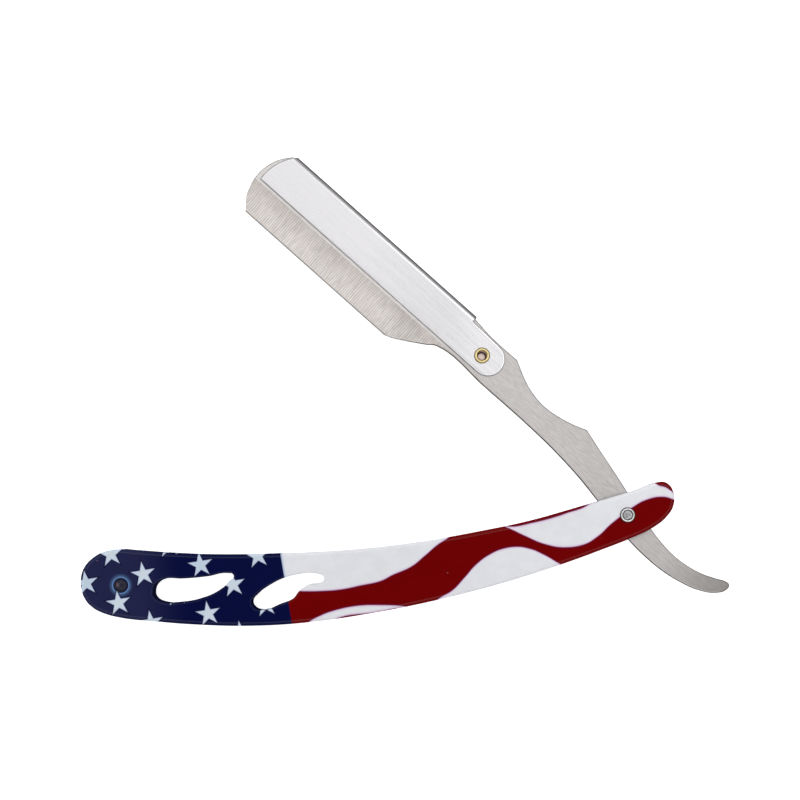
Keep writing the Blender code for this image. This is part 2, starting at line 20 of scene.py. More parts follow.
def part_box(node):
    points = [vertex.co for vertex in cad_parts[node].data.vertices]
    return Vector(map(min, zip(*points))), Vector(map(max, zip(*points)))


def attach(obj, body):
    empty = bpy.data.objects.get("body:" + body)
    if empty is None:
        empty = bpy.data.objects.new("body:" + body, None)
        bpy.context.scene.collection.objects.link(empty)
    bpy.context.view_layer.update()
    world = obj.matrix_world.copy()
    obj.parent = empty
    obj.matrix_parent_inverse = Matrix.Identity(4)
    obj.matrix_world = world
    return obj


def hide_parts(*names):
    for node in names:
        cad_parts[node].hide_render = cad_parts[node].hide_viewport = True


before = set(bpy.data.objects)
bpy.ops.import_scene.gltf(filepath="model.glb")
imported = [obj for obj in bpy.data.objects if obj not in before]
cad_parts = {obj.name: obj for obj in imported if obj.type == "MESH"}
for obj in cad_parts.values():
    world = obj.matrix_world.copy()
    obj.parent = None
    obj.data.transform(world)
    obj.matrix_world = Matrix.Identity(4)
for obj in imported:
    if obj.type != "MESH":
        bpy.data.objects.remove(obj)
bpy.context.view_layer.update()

log = logging.getLogger("razor")

MM = 0.001
MILLIMETRES = 1000.0

# Millimetres: how high the eyelet lies over the pivot, how near points count as one or as level,
# and how far a cutter stands out of what it cuts.
EYELET_HEIGHT = 5.75
MERGE = 0.002
SAME_LEVEL = 0.002
BEYOND = 3.0

# Radians: the least turn of an edge that gets rounded, and the most that is shaded smooth.
SHARP_RIM = 0.7
SMOOTH_UP_TO = math.radians(38.0)

# A face whose normal rises less than this stands upright, and one that rises more than FLAT lies flat.
UPRIGHT = 0.35
FLAT = 0.999

OUTLINE_STEPS = 10
ROUND_STEPS = 96

Number = float | int
Colour = tuple[float, float, float, float]
Feed = bpy.types.NodeSocket | Number | Sequence[float]
Shape = bmesh.types.BMesh
Edges = list[bmesh.types.BMEdge]
Profile = list[tuple[float, float]]


# --- Names -------------------------------------------------------------------------------------


class Body(Enum):
    """The moving groups of the razor."""

    HANDLE = "handle"
    ARM = "arm"
    COVER = "cover"


class Slot(Enum):
    """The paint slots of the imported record."""

    PRINT = "printed_enamel"
    BUTT_RIVET = "butt_rivet_enamel"
    ARM = "arm_steel"
    COVER = "cover_steel"
    BLADE = "blade_steel"
    EYELET = "eyelet_brass"
    POLISHED = "polished_steel"
    PLAIN = "plain_steel"


class Bend(Enum):
    """How an outline passes through a knot."""

    SMOOTH = "AUTO"
    CORNER = "VECTOR"


class Grain(Enum):
    """Which way the fine scratches of a metal face run."""

    LENGTHWISE = (22.0, 0.20)
    CROSSWISE = (0.24, 3.2)
    SHORT = (1.9, 0.24)


class Side(Enum):
    """Which way a handle side faces."""

    FRONT = 1
    BACK = -1


@dataclass(frozen=True)
class Knot:
    """A point of an outline, in bench millimetres."""

    x: float
    y: float
    bend: Bend = Bend.SMOOTH


@dataclass(frozen=True)
class Label:
    """What a finished piece is called, and what it stands for."""

    name: str
    node: str
    body: Body
    slot: Slot


@dataclass(frozen=True)
class Bench:
    """A working frame in millimetres, with its origin and turn on the razor."""

    origin: Vector
    turn: float

    def matrix(self) -> Matrix:
        """Returns the transform from bench millimetres to the razor's metres."""
        turned = Matrix.Rotation(self.turn, 4, "Z") @ Matrix.Scale(MM, 4)
        return Matrix.Translation(self.origin) @ turned


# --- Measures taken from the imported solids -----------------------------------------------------


def middle_of(node: str) -> Vector:
    """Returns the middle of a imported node's footprint, at ground level."""
    low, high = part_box(node)
    return Vector(((low.x + high.x) / 2, (low.y + high.y) / 2, 0.0))


def levels_of(node: str) -> tuple[float, float]:
    """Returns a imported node's lowest and highest level in millimetres."""
    low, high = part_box(node)
    return low.z * MILLIMETRES, high.z * MILLIMETRES


def angle_of(line: Vector) -> float:
    """Returns the direction of a line seen from the front."""
    return math.atan2(line.y, line.x)


def handle_bench() -> Bench:
    """Returns the handle's bench: origin on the pivot, butt rivet on the negative x axis."""
    pivot = middle_of("pivot_rivet")
    return Bench(pivot, angle_of(pivot - middle_of("butt_rivet")))


def arm_bench() -> Bench:
    """Returns the arm's bench: origin on the pivot, nose at -x, spine at +y."""
    pivot = middle_of("pivot_rivet")
    to_eyelet = middle_of("eyelet") - pivot
    rise = math.asin(EYELET_HEIGHT / (to_eyelet.length * MILLIMETRES))
    return Bench(pivot, angle_of(-to_eyelet) + rise)


# --- Shaping -----------------------------------------------------------------------------------


def drawn_loop(knots: Sequence[Knot], steps: int) -> Shape:
    """Draws a closed outline as one loop of edges.

    Args:
        knots: The points that the outline passes through.
        steps: How many edges a bend between two knots gets.

    Returns:
        A mesh that holds the loop at level 0.
    """
    curve = bpy.data.curves.new("outline", "CURVE")
    curve.dimensions = "2D"
    curve.fill_mode = "NONE"
    curve.resolution_u = steps
    spline = curve.splines.new("BEZIER")
    spline.bezier_points.add(len(knots) - 1)
    spline.use_cyclic_u = True
    for point, knot in zip(spline.bezier_points, knots):
        point.co = (knot.x, knot.y, 0.0)
        point.handle_left_type = knot.bend.value
        point.handle_right_type = knot.bend.value
    drawn = bpy.data.objects.new("outline", curve)
    bpy.context.scene.collection.objects.link(drawn)
    graph = bpy.context.evaluated_depsgraph_get()
    mesh = bpy.data.meshes.new_from_object(drawn.evaluated_get(graph))
    shape = bmesh.new()
    shape.from_mesh(mesh)
    bmesh.ops.remove_doubles(shape, verts=shape.verts[:], dist=MERGE)
    bpy.data.objects.remove(drawn)
    bpy.data.curves.remove(curve)
    bpy.data.meshes.remove(mesh)
    return shape


def plate(knots: Sequence[Knot], low: float, high: float, steps: int = OUTLINE_STEPS) -> Shape:
    """Makes a flat plate with an outline's shape.

    Args:
        knots: The outline.
        low: Level of the lower face.
        high: Level of the upper face.
        steps: How many edges a bend between two knots gets.

    Returns:
        The closed plate.
    """
    shape = drawn_loop(knots, steps)
    face = bmesh.ops.contextual_create(shape, geom=shape.edges[:])["faces"]
    bmesh.ops.translate(shape, verts=shape.verts[:], vec=(0.0, 0.0, low))
    grown = bmesh.ops.extrude_face_region(shape, geom=face)["geom"]
    upper = [item for item in grown if isinstance(item, bmesh.types.BMVert)]
    bmesh.ops.translate(shape, verts=upper, vec=(0.0, 0.0, high - low))
    bmesh.ops.recalc_face_normals(shape, faces=shape.faces[:])
    return shape


def block(low: tuple[float, float, float], high: tuple[float, float, float]) -> Shape:
    """Makes a rectangular block between two corners.

    Args:
        low: The lowest corner.
        high: The highest corner.

    Returns:
        The closed block.
    """
    shape = bmesh.new()
    bmesh.ops.create_cube(shape, size=1.0)
    bmesh.ops.scale(shape, verts=shape.verts[:], vec=Vector(high) - Vector(low))
    bmesh.ops.translate(shape, verts=shape.verts[:], vec=(Vector(high) + Vector(low)) / 2)
    return shape


def cone(place: tuple[float, float], low_radius: float, high_radius: float, low: float,
         high: float) -> Shape:
    """Makes an upright round cutter, straight or flaring.

    Args:
        place: Where its axis stands.
        low_radius: Radius at the lower end.
        high_radius: Radius at the upper end.
        low: Level of the lower end.
        high: Level of the upper end.

    Returns:
        The closed cone.
    """
    shape = bmesh.new()
    bmesh.ops.create_cone(shape, cap_ends=True, segments=ROUND_STEPS, radius1=low_radius,
                          radius2=high_radius, depth=high - low)
    bmesh.ops.translate(shape, verts=shape.verts[:], vec=(*place, (low + high) / 2))
    return shape


def turned(profile: Profile, place: tuple[float, float], closed: bool = False) -> Shape:
    """Turns a profile about an upright axis.

    Args:
        profile: Points (radius, level) in order along the outer side.
        place: Where the axis stands.
        closed: Whether the profile's last point joins its first, as on a ring.

    Returns:
        The closed round shape.
    """
    shape = bmesh.new()
    points = [shape.verts.new((radius, 0.0, level)) for radius, level in profile]
    ends = points[1:] + (points[:1] if closed else [])
    edges = [shape.edges.new(pair) for pair in zip(points, ends)]
    bmesh.ops.spin(shape, geom=points + edges, cent=(0.0, 0.0, 0.0), axis=(0.0, 0.0, 1.0),
                   dvec=(0.0, 0.0, 0.0), angle=math.tau, steps=ROUND_STEPS, use_merge=True,
                   use_duplicate=False)
    bmesh.ops.remove_doubles(shape, verts=shape.verts[:], dist=MERGE / 2)
    bmesh.ops.recalc_face_normals(shape, faces=shape.faces[:])
    bmesh.ops.translate(shape, verts=shape.verts[:], vec=(*place, 0.0))
    return shape


def ring(inner: float, outer: float, low: float, high: float, place: tuple[float, float],
         softness: float) -> Shape:
    """Makes a ring with softened edges.

    Args:
        inner: Radius of the bore.
        outer: Radius of the outside.
        low: Level of the lower face.
        high: Level of the upper face.
        place: Where the axis stands.
        softness: Radius of the edges.

    Returns:
        The closed ring.
    """
    profile = [(inner, high), (outer, high), (outer, low), (inner, low)]
    shape = turned(profile, place, closed=True)
    round_over(shape, sharp_edges(shape), softness, 3)
    return shape


def dome(radius: float, low: float, high: float, steps: int = 14) -> Profile:
    """Returns the profile of a domed head, from its top on the axis to its rim.

    Args:
        radius: Radius of the rim.
        low: Level of the rim.
        high: Level of the top.
        steps: How many points the round gets.
    """
    angles = [math.pi / 2 * (1 - i / steps) for i in range(steps + 1)]
    return [(radius * math.cos(a), low + (high - low) * math.sin(a)) for a in angles]


def upside_down(profile: Profile, middle: float) -> Profile:
    """Returns a profile mirrored about a level, still running from top to bottom."""
    return [(radius, 2 * middle - level) for radius, level in reversed(profile)]


def sharp_edges(shape: Shape, where: Callable[[Vector], bool] = lambda at: True,
                least: float = SHARP_RIM) -> Edges:
    """Finds the edges that turn sharply.

    Args:
        shape: The mesh to search.
        where: Says whether an edge with this middle is wanted.
        least: The smallest turn that counts, in radians.

    Returns:
        The edges found.
    """
    found = []
    for edge in shape.edges:
        middle = (edge.verts[0].co + edge.verts[1].co) / 2
        if edge.calc_face_angle(0.0) > least and where(middle):
            found.append(edge)
    return found


def round_over(shape: Shape, edges: Edges, radius: float, segments: int) -> None:
    """Rounds edges over.

    Args:
        shape: The mesh.
        edges: Its edges to round.
        radius: Radius of the round.
        segments: How many strips the round gets.
    """
    bmesh.ops.bevel(shape, geom=edges, offset=radius, segments=segments, affect="EDGES",
                    profile=0.5, material=-1, clamp_overlap=False)


def at_level(level: float) -> Callable[[Vector], bool]:
    """Returns a test for points on a level."""
    return lambda at: abs(at.z - level) < SAME_LEVEL


def stand_in(shape: Shape, name: str) -> bpy.types.Object:
    """Puts a mesh in the scene as an object, and frees it.

    Args:
        shape: The mesh.
        name: The object's name.

    Returns:
        The object.
    """
    mesh = bpy.data.meshes.new(name)
    shape.to_mesh(mesh)
    shape.free()
    made = bpy.data.objects.new(name, mesh)
    bpy.context.scene.collection.objects.link(made)
    return made


def carved(shape: Shape, cutters: Sequence[Shape]) -> Shape:
    """Cuts closed shapes out of a piece.

    Args:
        shape: The piece, which is used up.
        cutters: The closed shapes to cut away, which are used up.

    Returns:
        What is left of the piece.
    """
    blank = stand_in(shape, "blank")
    tools = [stand_in(cutter, "cutter") for cutter in cutters]
    for tool in tools:
        boolean = blank.modifiers.new("cut", "BOOLEAN")
        boolean.operation = "DIFFERENCE"
        boolean.solver = "EXACT"
        boolean.object = tool
    graph = bpy.context.evaluated_depsgraph_get()
    mesh = bpy.data.meshes.new_from_object(blank.evaluated_get(graph))
    left = bmesh.new()
    left.from_mesh(mesh)
    bmesh.ops.remove_doubles(left, verts=left.verts[:], dist=MERGE)
    bmesh.ops.dissolve_degenerate(left, edges=left.edges[:], dist=MERGE / 2)
    bpy.data.meshes.remove(mesh)
    for made in (blank, *tools):
        mesh = made.data
        bpy.data.objects.remove(made)
        bpy.data.meshes.remove(mesh)
    return left


def finished(label: Label, shape: Shape, bench: Bench,
             finishes: Sequence[bpy.types.Material]) -> bpy.types.Object:
    """Carries a shape to its place on the razor and makes it a piece.

    Args:
        label: Name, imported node, body and paint slot.
        shape: The mesh in bench millimetres, which is used up.
        bench: The bench it was made on.
        finishes: The materials of its faces, by face index.

    Returns:
        The piece.
    """
    piece = stand_in(shape, label.name)
    mesh = piece.data
    mesh.transform(bench.matrix())
    mesh.shade_smooth()
    mesh.set_sharp_from_angle(angle=SMOOTH_UP_TO)
    for finish in finishes:
        mesh.materials.append(finish)
    normals = piece.modifiers.new("weighted normals", "WEIGHTED_NORMAL")
    normals.keep_sharp = True
    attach(piece, label.body.value)
    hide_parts(label.node)
    log.info("%s rides on %s and has %d faces", label.name, label.body.value, len(mesh.polygons))
    return piece


# --- Nodes -------------------------------------------------------------------------------------

FLOAT = "NodeSocketFloat"
VECTOR = "NodeSocketVector"


def ink(red: int, green: int, blue: int) -> Colour:
    """Returns a linear colour from display values 0 to 255."""
    def linear(value: int) -> float:
        """Returns one channel made linear."""
        share = value / 255
        return share / 12.92 if share <= 0.04045 else ((share + 0.055) / 1.055) ** 2.4

    return linear(red), linear(green), linear(blue), 1.0


@dataclass(frozen=True)
class Spread:
    """The range that printed lines are drawn in, in millimetres."""

    left: float
    right: float
    bottom: float
    top: float

    def share(self, x: float, y: float) -> tuple[float, float]:
        """Returns a point as shares of the range."""
        across = (x - self.left) / (self.right - self.left)
        return across, (y - self.bottom) / (self.top - self.bottom)


class Wiring:
    """Short ways to lay nodes in one tree."""

    def __init__(self, tree: bpy.types.NodeTree) -> None:
        """Takes the tree to lay nodes in."""
        self.tree = tree

    def feed(self, socket: bpy.types.NodeSocket, value: Feed) -> None:
        """Links a socket to another, or sets its value."""
        if isinstance(value, bpy.types.NodeSocket):
            self.tree.links.new(value, socket)
        else:
            socket.default_value = value

    def node(self, kind: str, feeds: Mapping[str | int, Feed] | None = None,
             **traits: object) -> bpy.types.Node:
        """Lays a node.

        Args:
            kind: The node's type.
            feeds: What goes into its sockets, by name or index.
            **traits: Its other settings.

        Returns:
            The node.
        """
        laid = self.tree.nodes.new(kind)
        for trait, value in traits.items():
            setattr(laid, trait, value)
        for socket, value in (feeds or {}).items():
            self.feed(laid.inputs[socket], value)
        return laid

    def calc(self, operation: str, *values: Feed) -> bpy.types.NodeSocket:
        """Returns the result of a Math node."""
        return self.node("ShaderNodeMath", dict(enumerate(values)), operation=operation).outputs[0]

    def shift(self, operation: str, place: Feed, by: Feed) -> bpy.types.NodeSocket:
        """Returns the result of a Vector Math node."""
        return self.node("ShaderNodeVectorMath", {0: place, 1: by}, operation=operation).outputs[0]

    def share(self, share: float, first: Feed, second: Feed) -> bpy.types.NodeSocket:
        """Mixes two values.

        Args:
            share: How much of the second, 0 to 1.
            first: The first value.
            second: The second value.

        Returns:
            The mixed value.
        """
        return self.calc("MULTIPLY_ADD", second, share, self.calc("MULTIPLY", first, 1.0 - share))

    def parts(self, place: Feed) -> bpy.types.bpy_prop_collection:
        """Returns a place's x, y and z."""
        return self.node("ShaderNodeSeparateXYZ", {0: place}).outputs

    def reach(self, x: Feed, y: Feed) -> bpy.types.NodeSocket:
        """Returns how far a point is from the origin."""
        squares = self.calc("ADD", self.calc("MULTIPLY", x, x), self.calc("MULTIPLY", y, y))
        return self.calc("SQRT", squares)

    def group(self, tree: bpy.types.NodeTree, place: Feed, **settings: Feed) -> bpy.types.Node:
        """Lays a group node.

        Args:
            tree: The group.
            place: The place that it reads, in millimetres.
            **settings: Its other inputs.

        Returns:
            The group node.
        """
        return self.node("ShaderNodeGroup", {"Place": place, **settings}, node_tree=tree)

    def blend(self, share: Feed, first: Feed, second: Feed, how: str = "MIX") -> bpy.types.NodeSocket:
        """Mixes two colours.

        Args:
            share: How much of the second, 0 to 1.
            first: The first colour.
            second: The second colour.
            how: The kind of mix.

        Returns:
            The mixed colour.
        """
        laid = self.node("ShaderNodeMix", {0: share, 6: first, 7: second}, data_type="RGBA",
                         blend_type=how)
        return laid.outputs[2]

    def ease(self, value: Feed, start: float, end: float, low: float = 0.0,
             high: float = 1.0) -> bpy.types.NodeSocket:
        """Maps a value smoothly from one range to another.

        Args:
            value: The value.
            start: Where the change starts.
            end: Where it ends.
            low: The result at the start.
            high: The result at the end.

        Returns:
            The mapped value.
        """
        feeds = {0: value, 1: start, 2: end, 3: low, 4: high}
        return self.node("ShaderNodeMapRange", feeds, interpolation_type="SMOOTHSTEP").outputs[0]

    def ramp(self, value: Feed, stops: Sequence[tuple[float, Colour]]) -> bpy.types.NodeSocket:
        """Maps a value to colours over the range of the stops.

        Args:
            value: The value, in the stops' own units.
            stops: Where each colour lies, in rising order.

        Returns:
            The colour.
        """
        start, end = stops[0][0], stops[-1][0]
        share = self.node("ShaderNodeMapRange", {0: value, 1: start, 2: end}).outputs[0]
        laid = self.node("ShaderNodeValToRGB", {0: share})
        elements = laid.color_ramp.elements
        while len(elements) < len(stops):
            elements.new(0.5)
        for element, (place, _) in zip(elements, stops):
            element.position = (place - start) / (end - start)
        for element, (_, colour) in zip(elements, stops):
            element.color = colour
        return laid.outputs[0]

    def course(self, value: Feed, points: Sequence[tuple[float, float]], spread: Spread
               ) -> bpy.types.NodeSocket:
        """Follows a smooth line drawn through points.

        Args:
            value: How far along, in millimetres.
            points: The line's points in millimetres.
            spread: The range that the line is drawn in.

        Returns:
            The line's height in millimetres.
        """
        along = self.node("ShaderNodeMapRange", {0: value, 1: spread.left, 2: spread.right})
        laid = self.node("ShaderNodeFloatCurve", {1: along.outputs[0]})
        line = laid.mapping.curves[0]
        shares = [spread.share(*point) for point in points]
        line.points[0].location = shares[0]
        line.points[1].location = shares[-1]
        for share in shares[1:-1]:
            line.points.new(*share)
        laid.mapping.update()
        feeds = {0: laid.outputs[0], 3: spread.bottom, 4: spread.top}
        return self.node("ShaderNodeMapRange", feeds, clamp=False).outputs[0]


def new_group(name: str, inputs: Mapping[str, str], outputs: Mapping[str, str]
              ) -> tuple[Wiring, bpy.types.Node, bpy.types.Node]:
    """Starts a shader node group.

    Args:
        name: The group's name.
        inputs: The type of each input, by name.
        outputs: The type of each output, by name.

    Returns:
        The group's wiring, its input node and its output node.
    """
    tree = bpy.data.node_groups.new(name, "ShaderNodeTree")
    for socket, kind in inputs.items():
        tree.interface.new_socket(socket, in_out="INPUT", socket_type=kind)
    for socket, kind in outputs.items():
        tree.interface.new_socket(socket, in_out="OUTPUT", socket_type=kind)
    wiring = Wiring(tree)
    return wiring, wiring.node("NodeGroupInput"), wiring.node("NodeGroupOutput")


@functools.cache
def scratch_group() -> bpy.types.NodeTree:
    """Returns the fine parallel scratches that brushed and ground metal share.

    Inputs are the place in millimetres, and the size of a scratch along x and along y. Outputs are
    a streak value about 0.5 and a height.
    """
    w, given, out = new_group(
        "fine_scratches",
        {"Place": VECTOR, "Length": FLOAT, "Width": FLOAT},
        {"Streak": FLOAT, "Height": FLOAT},
    )
    size = w.node("ShaderNodeCombineXYZ", {0: given.outputs["Length"], 1: given.outputs["Width"], 2: 4.0})
    stretched = w.shift("DIVIDE", given.outputs["Place"], size.outputs[0])
    fine = w.node("ShaderNodeTexNoise", {"Vector": stretched, "Scale": 1.0, "Detail": 3.0,
                                         "Roughness": 0.62})
    broad = w.node("ShaderNodeTexNoise", {"Vector": stretched, "Scale": 0.31, "Detail": 1.0})
    streak = w.share(0.12, fine.outputs[0], broad.outputs[0])
    w.feed(out.inputs["Streak"], w.ease(streak, 0.36, 0.64))
    w.feed(out.inputs["Height"], fine.outputs[0])
    return w.tree


@functools.cache
def cloud_group() -> bpy.types.NodeTree:
    """Returns the slow unevenness that every finish has: handling marks and uneven polish."""
    w, given, out = new_group("uneven_polish", {"Place": VECTOR, "Size": FLOAT}, {"Value": FLOAT})
    scale = w.calc("DIVIDE", 1.0, given.outputs["Size"])
    noise = w.node("ShaderNodeTexNoise", {"Vector": given.outputs["Place"], "Scale": scale,
                                          "Detail": 3.0, "Roughness": 0.5})
    w.feed(out.inputs["Value"], w.ease(noise.outputs[0], 0.28, 0.72))
    return w.tree


@functools.cache
def lathe_group() -> bpy.types.NodeTree:
    """Returns the round turning marks about an axis at the place's origin."""
    w, given, out = new_group("turning_marks", {"Place": VECTOR, "Pitch": FLOAT},
                              {"Streak": FLOAT, "Height": FLOAT, "Reach": FLOAT})
    x, y, _ = w.parts(given.outputs["Place"])
    reach = w.reach(x, y)
    rings = w.node("ShaderNodeTexNoise", {"W": w.calc("DIVIDE", reach, given.outputs["Pitch"]),
                                          "Scale": 1.0, "Detail": 2.0}, noise_dimensions="1D")
    w.feed(out.inputs["Streak"], w.ease(rings.outputs[0], 0.3, 0.7))
    w.feed(out.inputs["Height"], rings.outputs[0])
    w.feed(out.inputs["Reach"], reach)
    return w.tree


@functools.cache
def dust_group() -> bpy.types.NodeTree:
    """Returns a few small pale specks."""
    w, given, out = new_group("dust_specks", {"Place": VECTOR, "Gap": FLOAT}, {"Mask": FLOAT})
    scale = w.calc("DIVIDE", 1.0, given.outputs["Gap"])
    cells = w.node("ShaderNodeTexVoronoi", {"Vector": given.outputs["Place"], "Scale": scale},
                   voronoi_dimensions="2D")
    chance = w.node("ShaderNodeSeparateColor", {0: cells.outputs["Color"]}).outputs[0]
    near = w.ease(cells.outputs["Distance"], 0.007, 0.014, 1.0, 0.0)
    w.feed(out.inputs["Mask"], w.calc("MULTIPLY", near, w.ease(chance, 0.45, 0.55)))
    return w.tree


@dataclass(frozen=True)
class StarRows:
    """The printed field of five-pointed stars, in staggered columns."""

    first: tuple[float, float] = (-114.3, -3.99)
    turn: float = math.radians(1.2)
    column_gap: float = 7.22
    row_gap: float = 12.3
    stagger: float = 6.15
    reach: float = 3.3
    last_column: int = 3

    def group(self) -> bpy.types.NodeTree:
        """Returns the group: how far inside a star a place is, and a chance value for each star."""
        w, given, out = new_group("star_rows", {"Place": VECTOR}, {"Inside": FLOAT, "Chance": FLOAT})
        centred = w.node("ShaderNodeMapping", {"Vector": given.outputs[0], "Location": (*self.first, 0.0),
                                               "Rotation": (0.0, 0.0, self.turn)}, vector_type="TEXTURE")
        x, y, _ = w.parts(centred.outputs[0])
        column = w.calc("ROUND", w.calc("DIVIDE", x, self.column_gap))
        across = w.calc("SUBTRACT", x, w.calc("MULTIPLY", column, self.column_gap))
        odd = w.calc("MODULO", w.calc("ABSOLUTE", column), 2.0)
        shifted = w.calc("SUBTRACT", y, w.calc("MULTIPLY", odd, self.stagger))
        row = w.calc("ROUND", w.calc("DIVIDE", shifted, self.row_gap))
        up = w.calc("SUBTRACT", shifted, w.calc("MULTIPLY", row, self.row_gap))
        point = w.calc("WRAP", w.calc("ARCTAN2", across, up), math.pi / 5, -math.pi / 5)
        slant = w.calc("COSINE", w.calc("SUBTRACT", math.tau / 5, w.calc("ABSOLUTE", point)))
        away = w.calc("MULTIPLY", w.reach(across, up), slant)
        inside = w.calc("SUBTRACT", self.reach * math.cos(math.tau / 5), away)
        beyond = w.calc("GREATER_THAN", column, self.last_column + 0.5)
        inside = w.calc("SUBTRACT", inside, w.calc("MULTIPLY", beyond, 2 * self.reach))
        cell = w.node("ShaderNodeCombineXYZ", {0: column, 1: row})
        chance = w.node("ShaderNodeTexWhiteNoise", {"Vector": cell.outputs[0]}, noise_dimensions="2D")
        w.feed(out.inputs["Inside"], inside)
        w.feed(out.inputs["Chance"], chance.outputs["Value"])
        return w.tree


@dataclass(frozen=True)
class Waves:
    """The printed red and white bands that wave along the handle.

    White lies above the crest line and below the rim line, and below the trough line and above
    the belly line. All lines are in handle bench millimetres.
    """

    spread: Spread = Spread(-88.0, 14.0, -24.0, 12.0)
    crest: tuple[tuple[float, float], ...] = (
        (-88.0, -6.4), (-83.5, -7.5), (-78.3, -8.2), (-73.2, -8.5), (-68.5, -8.2), (-63.4, -7.8),
        (-60.1, -6.7), (-55.5, -5.4), (-51.4, -3.0), (-47.8, -0.7), (-45.2, 0.5), (-42.5, 2.2),
        (-38.0, 3.6), (-33.5, 2.8), (-30.0, 1.0), (-26.0, -1.6), (-20.9, -4.5), (-16.7, -5.75),
        (-12.3, -5.8), (-8.3, -4.3), (-4.7, -1.8), (-1.7, 0.0), (1.9, 2.0), (5.3, 3.2),
        (8.7, 3.45), (12.1, 2.2), (14.0, 1.0),
    )
    trough: tuple[tuple[float, float], ...] = (
        (-88.0, -20.0), (-84.2, -17.6), (-82.1, -15.4), (-79.4, -14.4), (-76.5, -13.7),
        (-70.2, -13.2), (-64.2, -13.8), (-58.5, -14.9), (-53.0, -17.0), (-51.2, -15.8),
        (-49.4, -14.2), (-46.1, -12.8), (-42.5, -10.0), (-38.8, -6.9), (-35.2, -5.0),
        (-31.8, -4.1), (-28.5, -4.1), (-25.4, -5.0), (-22.3, -6.8), (-18.4, -9.8),
        (-14.0, -13.0), (-9.0, -17.0), (14.0, -20.0),
    )
    rim: tuple[tuple[float, float], ...] = (
        (-88.0, 11.0), (-36.0, 9.0), (-31.5, 3.0), (-29.6, 1.15), (-23.4, 1.3), (-17.8, 1.95),
        (-14.4, 2.6), (-11.0, 3.2), (-8.0, 4.4), (-4.0, 5.6), (1.0, 7.6), (5.0, 8.6), (7.4, 7.4),
        (8.9, 6.1), (10.0, 5.7), (11.4, 4.6), (12.1, 3.9), (14.0, 2.0),
    )
    belly: tuple[tuple[float, float], ...] = (
        (-88.0, -23.0), (-79.0, -19.0), (-75.0, -15.5), (-66.0, -15.35), (-58.0, -15.4),
        (-54.0, -19.0), (14.0, -23.0),
    )

    def group(self) -> bpy.types.NodeTree:
        """Returns the group: how far inside the white a place is, in millimetres."""
        w, given, out = new_group("waves", {"Place": VECTOR}, {"Inside": FLOAT})
        x, y, _ = w.parts(given.outputs[0])
        over = w.calc("SUBTRACT", y, w.course(x, self.crest, self.spread))
        under = w.calc("SUBTRACT", w.course(x, self.rim, self.spread), y)
        low = w.calc("SUBTRACT", w.course(x, self.trough, self.spread), y)
        held = w.calc("SUBTRACT", y, w.course(x, self.belly, self.spread))
        upper = w.calc("MINIMUM", over, under)
        lower = w.calc("MINIMUM", low, held)
        w.feed(out.inputs["Inside"], w.calc("MAXIMUM", upper, lower))
        return w.tree


# --- Finishes ----------------------------------------------------------------------------------


@dataclass(frozen=True)
class Finish:
    """What every finish starts from: a shader that reads bench millimetres."""

    name: str
    bench: Bench

    def start(self) -> tuple[bpy.types.Material, Wiring, bpy.types.Node, bpy.types.NodeSocket]:
        """Returns a new material, its wiring, its shader, and the place in millimetres."""
        made = bpy.data.materials.new(self.name)
        made.use_nodes = True
        w = Wiring(made.node_tree)
        shader = made.node_tree.nodes["Principled BSDF"]
        source = w.node("ShaderNodeTexCoord").outputs["Object"]
        feeds = {"Vector": source, "Location": self.bench.origin, "Scale": (MM, MM, MM),
                 "Rotation": (0.0, 0.0, self.bench.turn)}
        place = w.node("ShaderNodeMapping", feeds, vector_type="TEXTURE").outputs[0]
        return made, w, shader, place

    @staticmethod
    def relief(w: Wiring, shader: bpy.types.Node, height: bpy.types.NodeSocket, depth: float) -> None:
        """Gives a shader a fine relief.

        Args:
            w: The material's wiring.
            shader: The shader.
            height: The height, 0 to 1.
            depth: What height 1 stands for, in millimetres.
        """
        bump = w.node("ShaderNodeBump", {"Height": height, "Distance": depth * MM, "Strength": 1.0})
        w.feed(shader.inputs["Normal"], bump.outputs[0])


